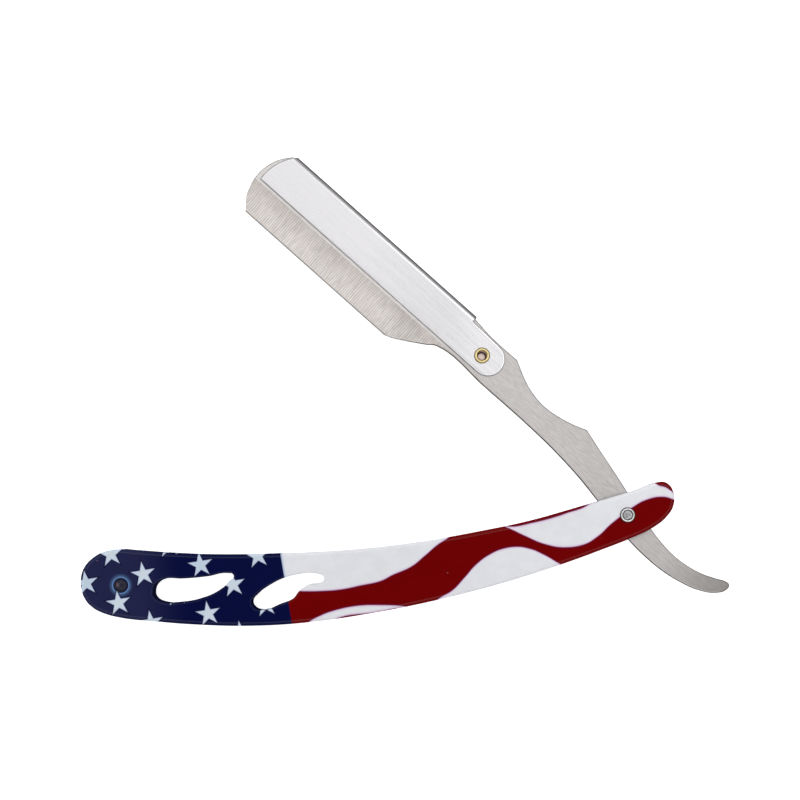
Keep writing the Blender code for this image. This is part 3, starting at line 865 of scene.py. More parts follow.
@dataclass(frozen=True)
class PrintedEnamel(Finish):
    """Glossy enamel with a starred navy end and waving red and white bands."""

    rivet_gap: float
    canton_end: float = -87.0
    canton_slant: float = 0.026
    dull_reach: tuple[float, float] = (-125.0, -111.0)
    navy: Colour = ink(10, 16, 64)
    dull_navy: Colour = ink(37, 40, 77)
    # Pale blue of the painted reflection on the dimple round the butt rivet.
    dimple_reflection_blue: Colour = ink(108, 146, 200)
    navy_line: Colour = ink(5, 6, 52)
    star: Colour = ink(216, 228, 239)
    blue_star: Colour = ink(204, 221, 236)
    star_line: Colour = ink(205, 219, 246)
    red: Colour = ink(121, 4, 6)
    red_line: Colour = ink(112, 4, 62)
    white: Colour = ink(249, 250, 255)
    white_line: Colour = ink(243, 216, 244)
    pale_blue: Colour = ink(188, 206, 238)
    speck: Colour = ink(190, 150, 160)
    worn: Colour = ink(240, 240, 240)
    wear: float = 0.3
    dust_gap: float = 14.0

    def bands(self, w: Wiring, place: bpy.types.NodeSocket) -> bpy.types.NodeSocket:
        """Returns the colour of the red and white bands."""
        inside = w.group(Waves().group(), place).outputs["Inside"]
        stops = [(-0.42, self.red), (-0.14, self.red_line), (0.12, self.white_line), (0.5, self.white)]
        return w.ramp(inside, stops)

    def stars(self, w: Wiring, place: bpy.types.NodeSocket) -> bpy.types.NodeSocket:
        """Returns the colour of the starred end."""
        rows = w.group(StarRows().group(), place)
        tint = w.ease(rows.outputs["Chance"], 0.62, 0.70)
        body = w.blend(tint, self.star, self.blue_star)
        inside = rows.outputs["Inside"]
        along = w.parts(place)[0]
        ground = w.blend(w.ease(along, *self.dull_reach, 1.0, 0.0), self.navy, self.dull_navy)
        # Painted reflection: a pale blue ring round the butt rivet stands in for light caught by the
        # dimple's slope.
        ground = w.blend(self.dimple_reflection_ring(w, place), ground, self.dimple_reflection_blue)
        line = w.ramp(inside, [(-0.04, self.navy_line), (0.16, self.star_line)])
        line = w.blend(w.ease(inside, -0.34, -0.06), ground, line)
        return w.blend(w.ease(inside, 0.12, 0.5), line, body)

    def dimple_reflection_ring(self, w: Wiring, place: bpy.types.NodeSocket) -> bpy.types.NodeSocket:
        """Returns where a painted reflection of the dimple's sloping side rings the butt rivet in pale
        blue.
        """
        x, y, _ = w.parts(place)
        reach = w.reach(w.calc("ADD", x, self.rivet_gap), y)
        risen = w.ease(reach, 1.80, 2.00)
        tint_share = w.ease(reach, 2.08, 2.26, 0.95, 0.32)
        return w.calc("MULTIPLY", w.calc("MULTIPLY", risen, tint_share), w.ease(reach, 2.2, 3.1, 1.0, 0.0))

    def made(self) -> bpy.types.Material:
        """Returns the material."""
        made, w, shader, place = self.start()
        x, y, _ = w.parts(place)
        # Painted light: the bands grow brighter towards the pivot, standing in for more light falling on
        # that end.
        painted_light_to_pivot = w.ramp(x, [(-60.0, ink(247, 247, 247)), (0.0, ink(255, 255, 255))])
        bands = w.blend(1.0, self.bands(w, place), painted_light_to_pivot, "MULTIPLY")
        across = w.calc("MULTIPLY_ADD", y, self.canton_slant, x)
        beside = w.ease(across, self.canton_end, self.canton_end + 0.7, 1.0, 0.0)
        pale = w.ease(w.node("ShaderNodeSeparateColor", {0: bands}).outputs[1], 0.3, 0.6)
        bands = w.blend(w.calc("MULTIPLY", beside, pale), bands, self.pale_blue)
        in_canton = w.ease(across, self.canton_end - 0.12, self.canton_end + 0.12, 1.0, 0.0)
        colour = w.blend(in_canton, bands, self.stars(w, place))
        cloud = w.group(cloud_group(), place, Size=3.0).outputs[0]
        toned = w.blend(w.ease(cloud, 0.0, 1.0, 0.0, self.wear), colour, self.worn, "MULTIPLY")
        dust = w.group(dust_group(), place, Gap=self.dust_gap).outputs[0]
        w.feed(shader.inputs["Base Color"], w.blend(w.calc("MULTIPLY", dust, 0.4), toned, self.speck))
        w.feed(shader.inputs["Roughness"], w.ease(cloud, 0.0, 1.0, 0.30, 0.42))
        shader.inputs["Specular IOR Level"].default_value = 0.0
        shader.inputs["Coat Weight"].default_value = 0.4
        shader.inputs["Coat Roughness"].default_value = 0.02
        self.relief(w, shader, cloud, 0.002)
        return made


@dataclass(frozen=True)
class PaintedHead(Finish):
    """Navy paint on the rivet's domes, with a lighter brown patch on one side of each crown."""

    centre: tuple[float, float]
    navy: Colour = ink(26, 26, 46)
    brown_patch_and_painted_light: Colour = ink(98, 78, 88)
    patch_offset: tuple[float, float] = (-0.75, 0.2)

    def made(self) -> bpy.types.Material:
        """Returns the material."""
        made, w, shader, place = self.start()
        x, y, _ = w.parts(place)
        # A lighter brown patch near one side of the crown, its edge broken up by noise.
        patch_x, patch_y = self.centre[0] + self.patch_offset[0], self.centre[1] + self.patch_offset[1]
        reach = w.reach(w.calc("SUBTRACT", x, patch_x), w.calc("SUBTRACT", y, patch_y))
        cloud = w.group(cloud_group(), place, Size=0.5).outputs[0]
        edge = w.calc("MULTIPLY_ADD", cloud, 0.45, reach)
        tint_share = w.ease(edge, 0.25, 1.0, 0.75, 0.0)
        w.feed(shader.inputs["Base Color"], w.blend(tint_share, self.navy, self.brown_patch_and_painted_light))
        w.feed(shader.inputs["Roughness"], w.ease(cloud, 0.0, 1.0, 0.35, 0.5))
        shader.inputs["Specular IOR Level"].default_value = 0.1
        shader.inputs["Coat Weight"].default_value = 0.3
        shader.inputs["Coat Roughness"].default_value = 0.2
        self.relief(w, shader, cloud, 0.02)
        return made


@dataclass(frozen=True)
class BrushedSteel(Finish):
    """Steel with fine parallel scratches."""

    colour: Colour
    shade: Colour
    grain: Grain
    roughness: tuple[float, float] = (0.42, 0.58)
    depth: float = 0.004
    # Painted shading: a colour ramp along one axis, multiplied in, that stands in for light falling
    # unevenly on the piece.
    tint_and_painted_shading: tuple[tuple[float, Colour], ...] = ()
    painted_shading_axis: int = 0
    under: Grain | None = None
    ground_pitch: float = 0.0

    def ground_lines(self, w: Wiring, place: bpy.types.NodeSocket) -> bpy.types.NodeSocket:
        """Returns the even lines that a grinding wheel leaves across the piece."""
        lines = w.node("ShaderNodeTexWave", {"Vector": place, "Scale": math.pi / 10 / self.ground_pitch,
                                             "Distortion": 1.8, "Detail": 1.0, "Detail Scale": 0.6})
        return lines.outputs["Fac"]

    @staticmethod
    def scratches(w: Wiring, place: bpy.types.NodeSocket, grain: Grain) -> bpy.types.Node:
        """Returns scratches of one grain at a place."""
        along, across = grain.value
        return w.group(scratch_group(), place, Length=along, Width=across)

    def made(self) -> bpy.types.Material:
        """Returns the material."""
        made, w, shader, place = self.start()
        scratch = self.scratches(w, place, self.grain)
        streak = scratch.outputs["Streak"]
        if self.under:
            crossing = self.scratches(w, place, self.under).outputs["Streak"]
            streak = w.share(0.28, streak, crossing)
        if self.ground_pitch:
            streak = w.share(0.45, streak, self.ground_lines(w, place))
        even = w.share(0.2, streak, w.group(cloud_group(), place, Size=9.0).outputs[0])
        colour = w.blend(even, self.shade, self.colour)
        if self.tint_and_painted_shading:
            along = w.parts(place)[self.painted_shading_axis]
            colour = w.blend(1.0, colour, w.ramp(along, self.tint_and_painted_shading), "MULTIPLY")
        w.feed(shader.inputs["Base Color"], colour)
        w.feed(shader.inputs["Roughness"], w.ease(even, 0.0, 1.0, *self.roughness))
        shader.inputs["Metallic"].default_value = 1.0
        self.relief(w, shader, scratch.outputs["Height"], self.depth)
        return made


@dataclass(frozen=True)
class TurnedMetal(Finish):
    """Metal with round turning marks about the piece's own axis."""

    centre: tuple[float, float]
    colour: Colour
    shade: Colour
    roughness: tuple[float, float] = (0.16, 0.26)
    depth: float = 0.002
    pitch: float = 0.09
    patch: float = 0.8
    # Painted shading: a colour ramp by distance from the axis, multiplied in, that stands in for highlights
    # and shade on the round; on the eyelet it also carries the brass colour.
    tint_and_painted_shading: tuple[tuple[float, Colour], ...] = ()

    def made(self) -> bpy.types.Material:
        """Returns the material."""
        made, w, shader, place = self.start()
        centred = w.shift("SUBTRACT", place, (*self.centre, 0.0))
        marks = w.group(lathe_group(), centred, Pitch=self.pitch)
        cloud = w.group(cloud_group(), place, Size=self.patch).outputs[0]
        even = w.share(0.6, marks.outputs["Streak"], cloud)
        colour = w.blend(even, self.shade, self.colour)
        if self.tint_and_painted_shading:
            colour = w.blend(1.0, colour, w.ramp(marks.outputs["Reach"], self.tint_and_painted_shading), "MULTIPLY")
        w.feed(shader.inputs["Base Color"], colour)
        w.feed(shader.inputs["Roughness"], w.ease(even, 0.0, 1.0, *self.roughness))
        shader.inputs["Metallic"].default_value = 1.0
        self.relief(w, shader, marks.outputs["Height"], self.depth)
        return made


# --- Handle ------------------------------------------------------------------------------------


def shifted(points: Sequence[tuple[float, float]], along: float) -> list[Knot]:
    """Returns knots from points measured from a place along the bench's x axis."""
    return [Knot(x + along, y) for x, y in points]


@dataclass(frozen=True)
class Handle:
    """The two enamelled handle sides, with their windows."""

    bench: Bench
    rivet_gap: float
    rim_radius: float = 0.95
    inner_radius: float = 0.12
    window_radius: float = 0.42
    window_turn: float = 1.2
    pin_bore: float = 1.08
    dimple_floor: float = 1.85
    dimple_mouth: float = 2.75
    dimple_depth: float = 0.15

    def outline(self) -> list[Knot]:
        """Returns the outline, clockwise: hooked butt, hollow top, blunt front, full belly."""
        butt = [(-9.5, -2.1), (-10.0, 0.8), (-9.7, 3.4), (-8.4, 5.9), (-6.2, 7.7), (-3.5, 8.8),
                (0.5, 9.0), (4.5, 8.2)]
        top = [(0.10, 6.45), (0.19, 4.4), (0.32, 2.4), (0.46, 0.9), (0.59, 0.5), (0.72, 1.1)]
        front = [(-24.0, 1.95), (-13.0, 3.45), (-4.0, 4.85), (3.5, 6.0), (8.6, 7.1), (10.8, 6.7),
                 (12.2, 4.4), (11.9, 1.0), (9.8, -1.7), (5.5, -4.2), (0.0, -5.9), (-7.0, -7.6)]
        belly = [(0.86, -9.95), (0.74, -12.6), (0.61, -14.5), (0.47, -15.55), (0.35, -15.6),
                 (0.24, -14.5), (0.13, -12.2)]
        heel = [(7.0, -10.1), (-1.2, -8.05), (-5.6, -6.2), (-7.9, -4.5)]
        return (shifted(butt, -self.rivet_gap) + self.between_rivets(top) + shifted(front, 0.0)
                + self.between_rivets(belly) + shifted(heel, -self.rivet_gap))

    def between_rivets(self, points: Sequence[tuple[float, float]]) -> list[Knot]:
        """Returns knots from shares of the way from the butt rivet to the pivot."""
        return [Knot((share - 1) * self.rivet_gap, y) for share, y in points]

    def windows(self) -> list[list[Knot]]:
        """Returns the outlines of the two windows."""
        rear = [(7.65, -2.6), (8.6, -0.85), (11.1, 0.1), (15.5, -0.45), (22.0, -0.75),
                (26.6, -0.6), (28.2, -1.4), (27.0, -2.7), (24.0, -4.6), (19.5, -5.9),
                (14.5, -6.3), (9.5, -5.5), (7.8, -4.1)]
        front = [(31.7, -8.6), (33.4, -6.8), (36.6, -5.1), (40.7, -3.75), (44.2, -3.4),
                 (48.0, -3.6), (50.4, -5.1), (49.4, -6.2), (46.4, -6.3), (44.1, -7.3),
                 (42.0, -9.2), (38.5, -10.2), (34.4, -11.0), (32.3, -10.2)]
        return [shifted(rear, -self.rivet_gap), shifted(front, -self.rivet_gap)]

    def side(self, node: str, facing: Side) -> Shape:
        """Makes one handle side.

        Args:
            node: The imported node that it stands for.
            facing: Which way its outer face looks.

        Returns:
            The side, its rim rounded on the outer face.
        """
        low, high = levels_of(node)
        outer, inner = (high, low) if facing is Side.FRONT else (low, high)
        shape = plate(self.outline(), low, high)
        round_over(shape, sharp_edges(shape, at_level(outer)), self.rim_radius, 7)
        round_over(shape, sharp_edges(shape, at_level(inner)), self.inner_radius, 2)
        butt = (-self.rivet_gap, 0.0)
        cutters = [plate(window, low - BEYOND, high + BEYOND) for window in self.windows()]
        for place in ((0.0, 0.0), butt):
            cutters.append(cone(place, self.pin_bore, self.pin_bore, low - BEYOND, high + BEYOND))
        if facing is Side.FRONT:
            floor = high - self.dimple_depth
            flare = (self.dimple_mouth - self.dimple_floor) / self.dimple_depth
            mouth = self.dimple_floor + flare * 2 * self.dimple_depth
            cutters.append(cone(butt, self.dimple_floor, mouth, floor, floor + 2 * self.dimple_depth))
        shape = carved(shape, cutters)
        openings = sharp_edges(shape, at_level(outer), self.window_turn)
        round_over(shape, openings, self.window_radius, 4)
        return shape

    def build(self) -> None:
        """Builds and dresses both sides."""
        enamel = PrintedEnamel("starred_enamel", self.bench, self.rivet_gap).made()
        front = Label("handle_side_front", "front_scale", Body.HANDLE, Slot.PRINT)
        back = Label("handle_side_back", "back_scale", Body.HANDLE, Slot.PRINT)
        finished(front, self.side("front_scale", Side.FRONT), self.bench, [enamel])
        finished(back, self.side("back_scale", Side.BACK), self.bench, [enamel])


@dataclass(frozen=True)
class ButtEnd:
    """The painted rivet at the handle's butt and the spacer that it holds."""

    bench: Bench
    rivet_gap: float
    head_radius: float = 1.70
    pin_radius: float = 1.0
    head_height: float = 0.6
    seat_gap: float = 0.1
    skirt: float = 0.12
    lip: float = 0.04
    lip_rise: float = 0.02
    spacer_radius: float = 2.2
    spacer_bore: float = 1.08
    softness: float = 0.15

    def head(self, seat: float, top: float) -> Profile:
        """Returns the profile of a domed head, from its top to the pin under its seat."""
        radius = self.head_radius
        return [*dome(radius, seat + self.skirt, top), (radius - self.lip, seat + self.lip_rise),
                (radius - self.seat_gap, seat), (self.pin_radius, seat)]

    def rivet(self) -> Shape:
        """Returns the rivet: a domed head on each side of a pin."""
        low, high = levels_of("butt_rivet")
        seat = high - self.head_height
        back_seat = levels_of("back_scale")[0] - self.seat_gap
        back = self.head(back_seat, 2 * back_seat - low)
        return turned(self.head(seat, high) + upside_down(back, back_seat), (-self.rivet_gap, 0.0))

    def build(self) -> None:
        """Builds and dresses the rivet and the spacer."""
        place = (-self.rivet_gap, 0.0)
        paint = PaintedHead("rivet_paint", self.bench, place).made()
        label = Label("butt_rivet_heads", "butt_rivet", Body.HANDLE, Slot.BUTT_RIVET)
        finished(label, self.rivet(), self.bench, [paint])
        low, high = levels_of("butt_spacer")
        sleeve = ring(self.spacer_bore, self.spacer_radius, low, high, place, self.softness)
        steel = TurnedMetal("spacer_steel", self.bench, place, ink(196, 194, 190), ink(160, 157, 153),
                            (0.3, 0.45)).made()
        finished(Label("butt_spacer_sleeve", "butt_spacer", Body.HANDLE, Slot.PLAIN), sleeve,
                 self.bench, [steel])


@dataclass(frozen=True)
class Pivot:
    """The peened pivot pin, its domed collars and its washers."""

    bench: Bench
    collar_radius: float = 1.92
    mouth_radius: float = 1.28
    crest: float = 0.2
    collar_bore: float = 1.08
    pin_radius: float = 1.0
    peen_radius: float = 1.2
    washer_radius: float = 3.6
    washer_softness: float = 0.1
    hammer_marks: tuple[tuple[float, float, float], ...] = (
        (0.50, -0.12, 0.30), (-0.35, 0.38, 0.26), (-0.30, -0.42, 0.30), (0.18, 0.62, 0.20),
        (0.12, -0.02, 0.16),
    )
    mark_lift: float = 0.6

    def collar(self, node: str, facing: Side) -> Shape:
        """Makes one collar: a thin dome with a mouth for the pin.

        Args:
            node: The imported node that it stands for.
            facing: Which way its dome looks.

        Returns:
            The collar.
        """
        low, high = levels_of(node)
        middle = (low + high) / 2
        crest = self.mouth_radius + self.crest
        rise = dome(self.collar_radius - crest, low + 0.06, high)
        profile = [(self.collar_bore, low + 0.13), (self.mouth_radius, high - 0.1),
                   (self.mouth_radius + 0.05, high - 0.03), (self.mouth_radius + 0.11, high)]
        profile += [(crest + reach, level) for reach, level in rise]
        profile += [(self.collar_radius - 0.05, low), (self.collar_bore, low)]
        if facing is Side.BACK:
            profile = upside_down(profile, middle)
        return turned(profile, (0.0, 0.0), closed=True)

    def pin(self) -> Shape:
        """Returns the pin, with hammer marks on its peened ends."""
        low, high = levels_of("pivot_rivet")
        middle = (low + high) / 2
        end = [(0.0, high), (0.55, high - 0.005), (0.92, high - 0.03), (1.08, high - 0.07),
               (1.16, high - 0.13), (self.peen_radius, high - 0.2), (self.peen_radius, high - 0.27),
               (self.pin_radius, high - 0.3)]
        shape = turned(end + upside_down(end, middle), (0.0, 0.0))
        marks = []
        for x, y, radius in self.hammer_marks:
            for level in (high, low):
                ball = bmesh.new()
                bmesh.ops.create_icosphere(ball, subdivisions=3, radius=radius)
                lift = math.copysign(radius * self.mark_lift, level - middle)
                bmesh.ops.translate(ball, verts=ball.verts[:], vec=(x, y, level + lift))
                marks.append(ball)
        return carved(shape, marks)

    def build(self) -> None:
        """Builds and dresses the pivot's pieces."""
        centre = (0.0, 0.0)
        # Painted light on the collar's dome: a painted highlight ring, and darker rings of painted shade
        # towards its outer edge.
        brown_patch_and_painted_light = ((1.28, ink(170, 170, 172)), (1.42, ink(255, 255, 255)), (1.66, ink(245, 245, 245)),
                  (1.80, ink(120, 120, 124)), (1.92, ink(70, 70, 76)))
        bright = TurnedMetal("collar_polish", self.bench, centre, ink(252, 251, 250),
                             ink(225, 224, 222), (0.10, 0.18), tint_and_painted_shading=brown_patch_and_painted_light).made()
        dull = TurnedMetal("peened_steel", self.bench, centre, ink(226, 224, 228),
                           ink(112, 112, 116), (0.26, 0.42), 0.004, patch=0.42).made()
        for node, facing in (("pivot_collar_front", Side.FRONT), ("pivot_collar_back", Side.BACK)):
            label = Label(node + "_dome", node, Body.HANDLE, Slot.POLISHED)
            finished(label, self.collar(node, facing), self.bench, [bright])
        finished(Label("pivot_pin_peened", "pivot_rivet", Body.HANDLE, Slot.PLAIN), self.pin(),
                 self.bench, [dull])
        for node in ("pivot_washer_front", "pivot_washer_back"):
            low, high = levels_of(node)
            washer = ring(self.collar_bore, self.washer_radius, low, high, centre, self.washer_softness)
            finished(Label(node + "_disc", node, Body.HANDLE, Slot.PLAIN), washer, self.bench, [dull])


# --- Arm ---------------------------------------------------------------------------------------


def arc(centre: tuple[float, float], radius: float, start: float, end: float, steps: int
        ) -> list[Knot]:
    """Returns knots on an arc whose two ends are corners.

    Args:
        centre: The arc's centre.
        radius: Its radius.
        start: Its first angle in degrees.
        end: Its last angle in degrees.
        steps: How many spans it gets.
    """
    found = []
    for i in range(steps + 1):
        angle = math.radians(start + (end - start) * i / steps)
        bend = Bend.CORNER if i in (0, steps) else Bend.SMOOTH
        x, y = centre[0] + radius * math.cos(angle), centre[1] + radius * math.sin(angle)
        found.append(Knot(x, y, bend))
    return found


@dataclass(frozen=True)
class ArmSizes:
    """Places along the arm that its pieces share, in arm bench millimetres."""

    eyelet_x: float
    nose_x: float
    spine: float = 11.5
    step: float = 10.85
    edge: float = -6.56
    shank_low: float = 0.45
    nose_radius: float = 12.6
    shoulder_back: float = 21.9
    step_ahead: float = 7.3
    swell: float = -21.5
    tail: float = 31.3
    grind_width: float = 7.75
    grind_depth: float = 0.45
    grind_runout: float = 12.5
    tongue_reach: float = 5.9
    eyelet_radius: float = 1.49
    pin_bore: float = 1.08

    def nose(self) -> list[Knot]:
        """Returns the head's round end, from the cutting edge to the spine."""
        middle = (self.spine + self.edge) / 2
        half = math.degrees(math.asin((self.spine - middle) / self.nose_radius))
        centre = (self.nose_x + self.nose_radius, middle)
        return arc(centre, self.nose_radius, 180 + half, 180 - half, 6)

    def shoulder(self) -> list[Knot]:
        """Returns the slope from the shank's lower side down to the cutting edge."""
        start = self.eyelet_x - self.shoulder_back
        slope = shifted([(11.7, 0.15), (9.4, -1.4), (6.9, -2.95), (4.4, -4.45), (1.9, -5.85)], start)
        return slope + [Knot(start, self.edge, Bend.CORNER)]

    def shank_top(self) -> list[Knot]:
        """Returns the upper side from the head's step through the waist to the swell."""
        start = self.eyelet_x + self.step_ahead
        waist = [(0.06, 10.1), (0.20, 8.4), (0.36, 7.15), (0.52, 6.7), (0.68, 7.1), (0.84, 8.0)]
        run = [Knot(start + share * (self.swell - start), y) for share, y in waist]
        return [Knot(start, self.step, Bend.CORNER), *run, Knot(self.swell, 9.4, Bend.CORNER)]

    def tail_end(self) -> list[Knot]:
        """Returns the tail, from the swell's foot round its tip and back below the pivot."""
        top = [(-16.0, 7.85), (-8.0, 5.75), (0.0, 3.5), (7.0, 1.55), (12.0, 0.65), (16.0, 0.4),
               (20.0, 0.75), (24.0, 1.7), (27.5, 3.15)]
        tip = [(-1.4, 4.25), (-0.3, 4.1), (0.0, 3.0), (-1.3, 0.6)]
        low = [(26.0, -2.0), (22.0, -3.3), (17.0, -4.25), (11.0, -4.55), (5.0, -4.2), (-4.0, -2.75),
               (-14.0, -0.95), (-22.0, -0.05), (-30.0, 0.4)]
        return shifted(top, 0.0) + shifted(tip, self.tail) + shifted(low, 0.0)

    def spine_end(self) -> list[Knot]:
        """Returns the spine's end, which dips a little behind the cover's fold."""
        head_end = Knot(self.eyelet_x - 7.4, self.spine, Bend.CORNER)
        return [head_end, *shifted([(-5.4, 11.3), (-2.4, 10.95), (0.6, 10.8), (3.6, 10.8)], self.eyelet_x)]

    def arm_outline(self) -> list[Knot]:
        """Returns the arm's outline, clockwise from the edge's nose corner."""
        lower = Knot(self.eyelet_x + self.tongue_reach, self.shank_low)
        return [*self.nose(), *self.spine_end(), *self.shank_top(), *self.tail_end(), lower,
                *self.shoulder()]

    def leaf_outline(self) -> list[Knot]:
        """Returns the back leaf's outline, cut square behind the eyelet."""
        end = self.eyelet_x + self.tongue_reach
        square = [Knot(end, self.step, Bend.CORNER), Knot(end, self.shank_low, Bend.CORNER)]
        return [*self.nose(), *self.spine_end(), *square, *self.shoulder()]

    def grind(self, level: float, facing: Side) -> Shape:
        """Returns the wedge that thins a leaf's outer face towards its edge."""
        tilt = math.atan2(self.grind_depth, self.grind_width)
        wedge = block((self.nose_x - BEYOND, -self.grind_width - BEYOND, 0.0),
                      (self.eyelet_x - self.shoulder_back + self.grind_runout, 0.0, BEYOND))
        if facing is Side.BACK:
            bmesh.ops.translate(wedge, verts=wedge.verts[:], vec=(0.0, 0.0, -BEYOND))
        turn = Matrix.Rotation(facing.value * tilt, 3, "X")
        bmesh.ops.rotate(wedge, verts=wedge.verts[:], cent=(0.0, 0.0, 0.0), matrix=turn)
        bmesh.ops.translate(wedge, verts=wedge.verts[:], vec=(0.0, self.edge + self.grind_width, level))
        return wedge

    def ground(self, at: Vector) -> bool:
        """Says whether a place lies on the ground faces."""
        return at.y < self.edge + self.grind_width - SAME_LEVEL


@dataclass(frozen=True)
class BladeSizes:
    """Sizes of the half blade and of the studs that locate it."""

    length: float = 43.0
    width: float = 11.0
    setback: float = 0.15
    corner: float = 1.2
    from_nose: float = 4.6
    honed: float = 0.9
    stud_radius: float = 0.9
    stud_gap: float = 13.0
    stud_bore: float = 0.94
    notch: float = 0.98

    def middle(self, arm: ArmSizes) -> float:
        """Returns the blade's middle along the arm."""
        return arm.nose_x + self.from_nose + self.length / 2

    def top(self, arm: ArmSizes) -> float:
        """Returns the height of the blade's upper edge."""
        return arm.edge + self.setback + self.width

    def studs(self, arm: ArmSizes) -> list[tuple[float, float]]:
        """Returns the places of the three studs."""
        return [(self.middle(arm) + step * self.stud_gap, self.top(arm)) for step in (-1, 0, 1)]


@dataclass(frozen=True)
class Arm:
    """The shank with its tail and front leaf, and the back leaf let into it."""

    bench: Bench
    sizes: ArmSizes
    blade: BladeSizes
    rim_radius: float = 0.3
    fine_radius: float = 0.07
    square_turn: float = 1.0
    ground_tilt: tuple[float, float] = (0.9, 0.9995)
    rebate_gap: float = 0.1

    def bores(self, low: float, high: float) -> list[Shape]:
        """Returns the cutters for the eyelet's and the studs' bores."""
        eyelet = (self.sizes.eyelet_x, EYELET_HEIGHT)
        radius = self.sizes.eyelet_radius
        found = [cone(eyelet, radius, radius, low, high)]
        for place in self.blade.studs(self.sizes):
            found.append(cone(place, self.blade.stud_bore, self.blade.stud_bore, low, high))
        return found

    def dressed(self, shape: Shape) -> Shape:
        """Softens the edges left by the cutters and marks the ground faces."""
        round_over(shape, sharp_edges(shape, least=self.square_turn), self.fine_radius, 2)
        low_tilt, high_tilt = self.ground_tilt
        for face in shape.faces:
            tilted = low_tilt < abs(face.normal.z) < high_tilt
            face.material_index = 1 if tilted and self.sizes.ground(face.calc_center_median()) else 0
            # Upright faces take the darker wall finish, which paints shade on the plate's edges.
            if abs(face.normal.z) < UPRIGHT:
                face.material_index = 2
        return shape

    def shank(self) -> Shape:
        """Returns the arm in one plate, thinned below to its front leaf."""
        low, high = levels_of("blade_arm")
        shape = plate(self.sizes.arm_outline(), low, high)
        round_over(shape, sharp_edges(shape, at_level(high)), self.rim_radius, 4)
        round_over(shape, sharp_edges(shape, at_level(low)), self.rim_radius, 4)
        leaf_low = high - (levels_of("back_leaf")[1] - low)
        end = self.sizes.eyelet_x + self.sizes.tongue_reach + self.rebate_gap
        rebate = block((self.sizes.nose_x - BEYOND, self.sizes.edge - BEYOND, low - BEYOND),
                       (end, self.sizes.spine + BEYOND, leaf_low))
        pin = cone((0.0, 0.0), self.sizes.pin_bore, self.sizes.pin_bore, low - BEYOND, high + BEYOND)
        cutters = [rebate, self.sizes.grind(high, Side.FRONT), pin]
        return self.dressed(carved(shape, cutters + self.bores(low - BEYOND, high + BEYOND)))

    def leaf(self) -> Shape:
        """Returns the back leaf."""
        low, high = levels_of("back_leaf")
        shape = plate(self.sizes.leaf_outline(), low, high)
        round_over(shape, sharp_edges(shape, at_level(low)), self.rim_radius, 4)
        cutters = [self.sizes.grind(low, Side.BACK), *self.bores(low - BEYOND, high + BEYOND)]
        return self.dressed(carved(shape, cutters))

    def build(self) -> None:
        """Builds and dresses the arm and its back leaf."""
        # Painted shading: the shank steel darkens from the nose towards the tail, standing in for less
        # light reflected there.
        tint_and_painted_shading = ((-72.0, ink(255, 255, 255)), (-60.0, ink(240, 240, 240)), (-20.0, ink(231, 231, 231)),
                (14.0, ink(221, 221, 221)), (32.0, ink(172, 171, 170)))
        satin = BrushedSteel("shank_steel", self.bench, ink(255, 251, 249), ink(203, 199, 197),
                             Grain.SHORT, depth=0.010, tint_and_painted_shading=tint_and_painted_shading, under=Grain.LENGTHWISE).made()
        # Painted shade: a darker copy of the same steel on the upright edges, standing in for the dark
        # lines along them.
        shaded_walls = BrushedSteel("walls_painted_shade", self.bench, ink(120, 120, 124), ink(92, 92, 96),
                             Grain.LENGTHWISE, (0.5, 0.6)).made()
        # Painted shading across the ground faces: a dark line along the cutting edge, full brightness above
        # it, and a little darker towards the top of the grind.
        ground = BrushedSteel("ground_steel", self.bench, ink(255, 249, 245), ink(170, 164, 159),
                              Grain.CROSSWISE, (0.36, 0.50), 0.014, painted_shading_axis=1,
                              tint_and_painted_shading=((-6.58, ink(170, 170, 172)), (-6.40, ink(200, 200, 202)),
                                    (-6.24, ink(255, 255, 255)), (-3.5, ink(255, 255, 255)),
                                    (1.3, ink(234, 233, 232))),
                              under=Grain.SHORT, ground_pitch=0.56).made()
        finished(Label("shank_and_front_leaf", "blade_arm", Body.ARM, Slot.ARM), self.shank(),
                 self.bench, [satin, ground, shaded_walls])
        finished(Label("back_leaf_plate", "back_leaf", Body.ARM, Slot.ARM), self.leaf(),
                 self.bench, [satin, ground, shaded_walls])


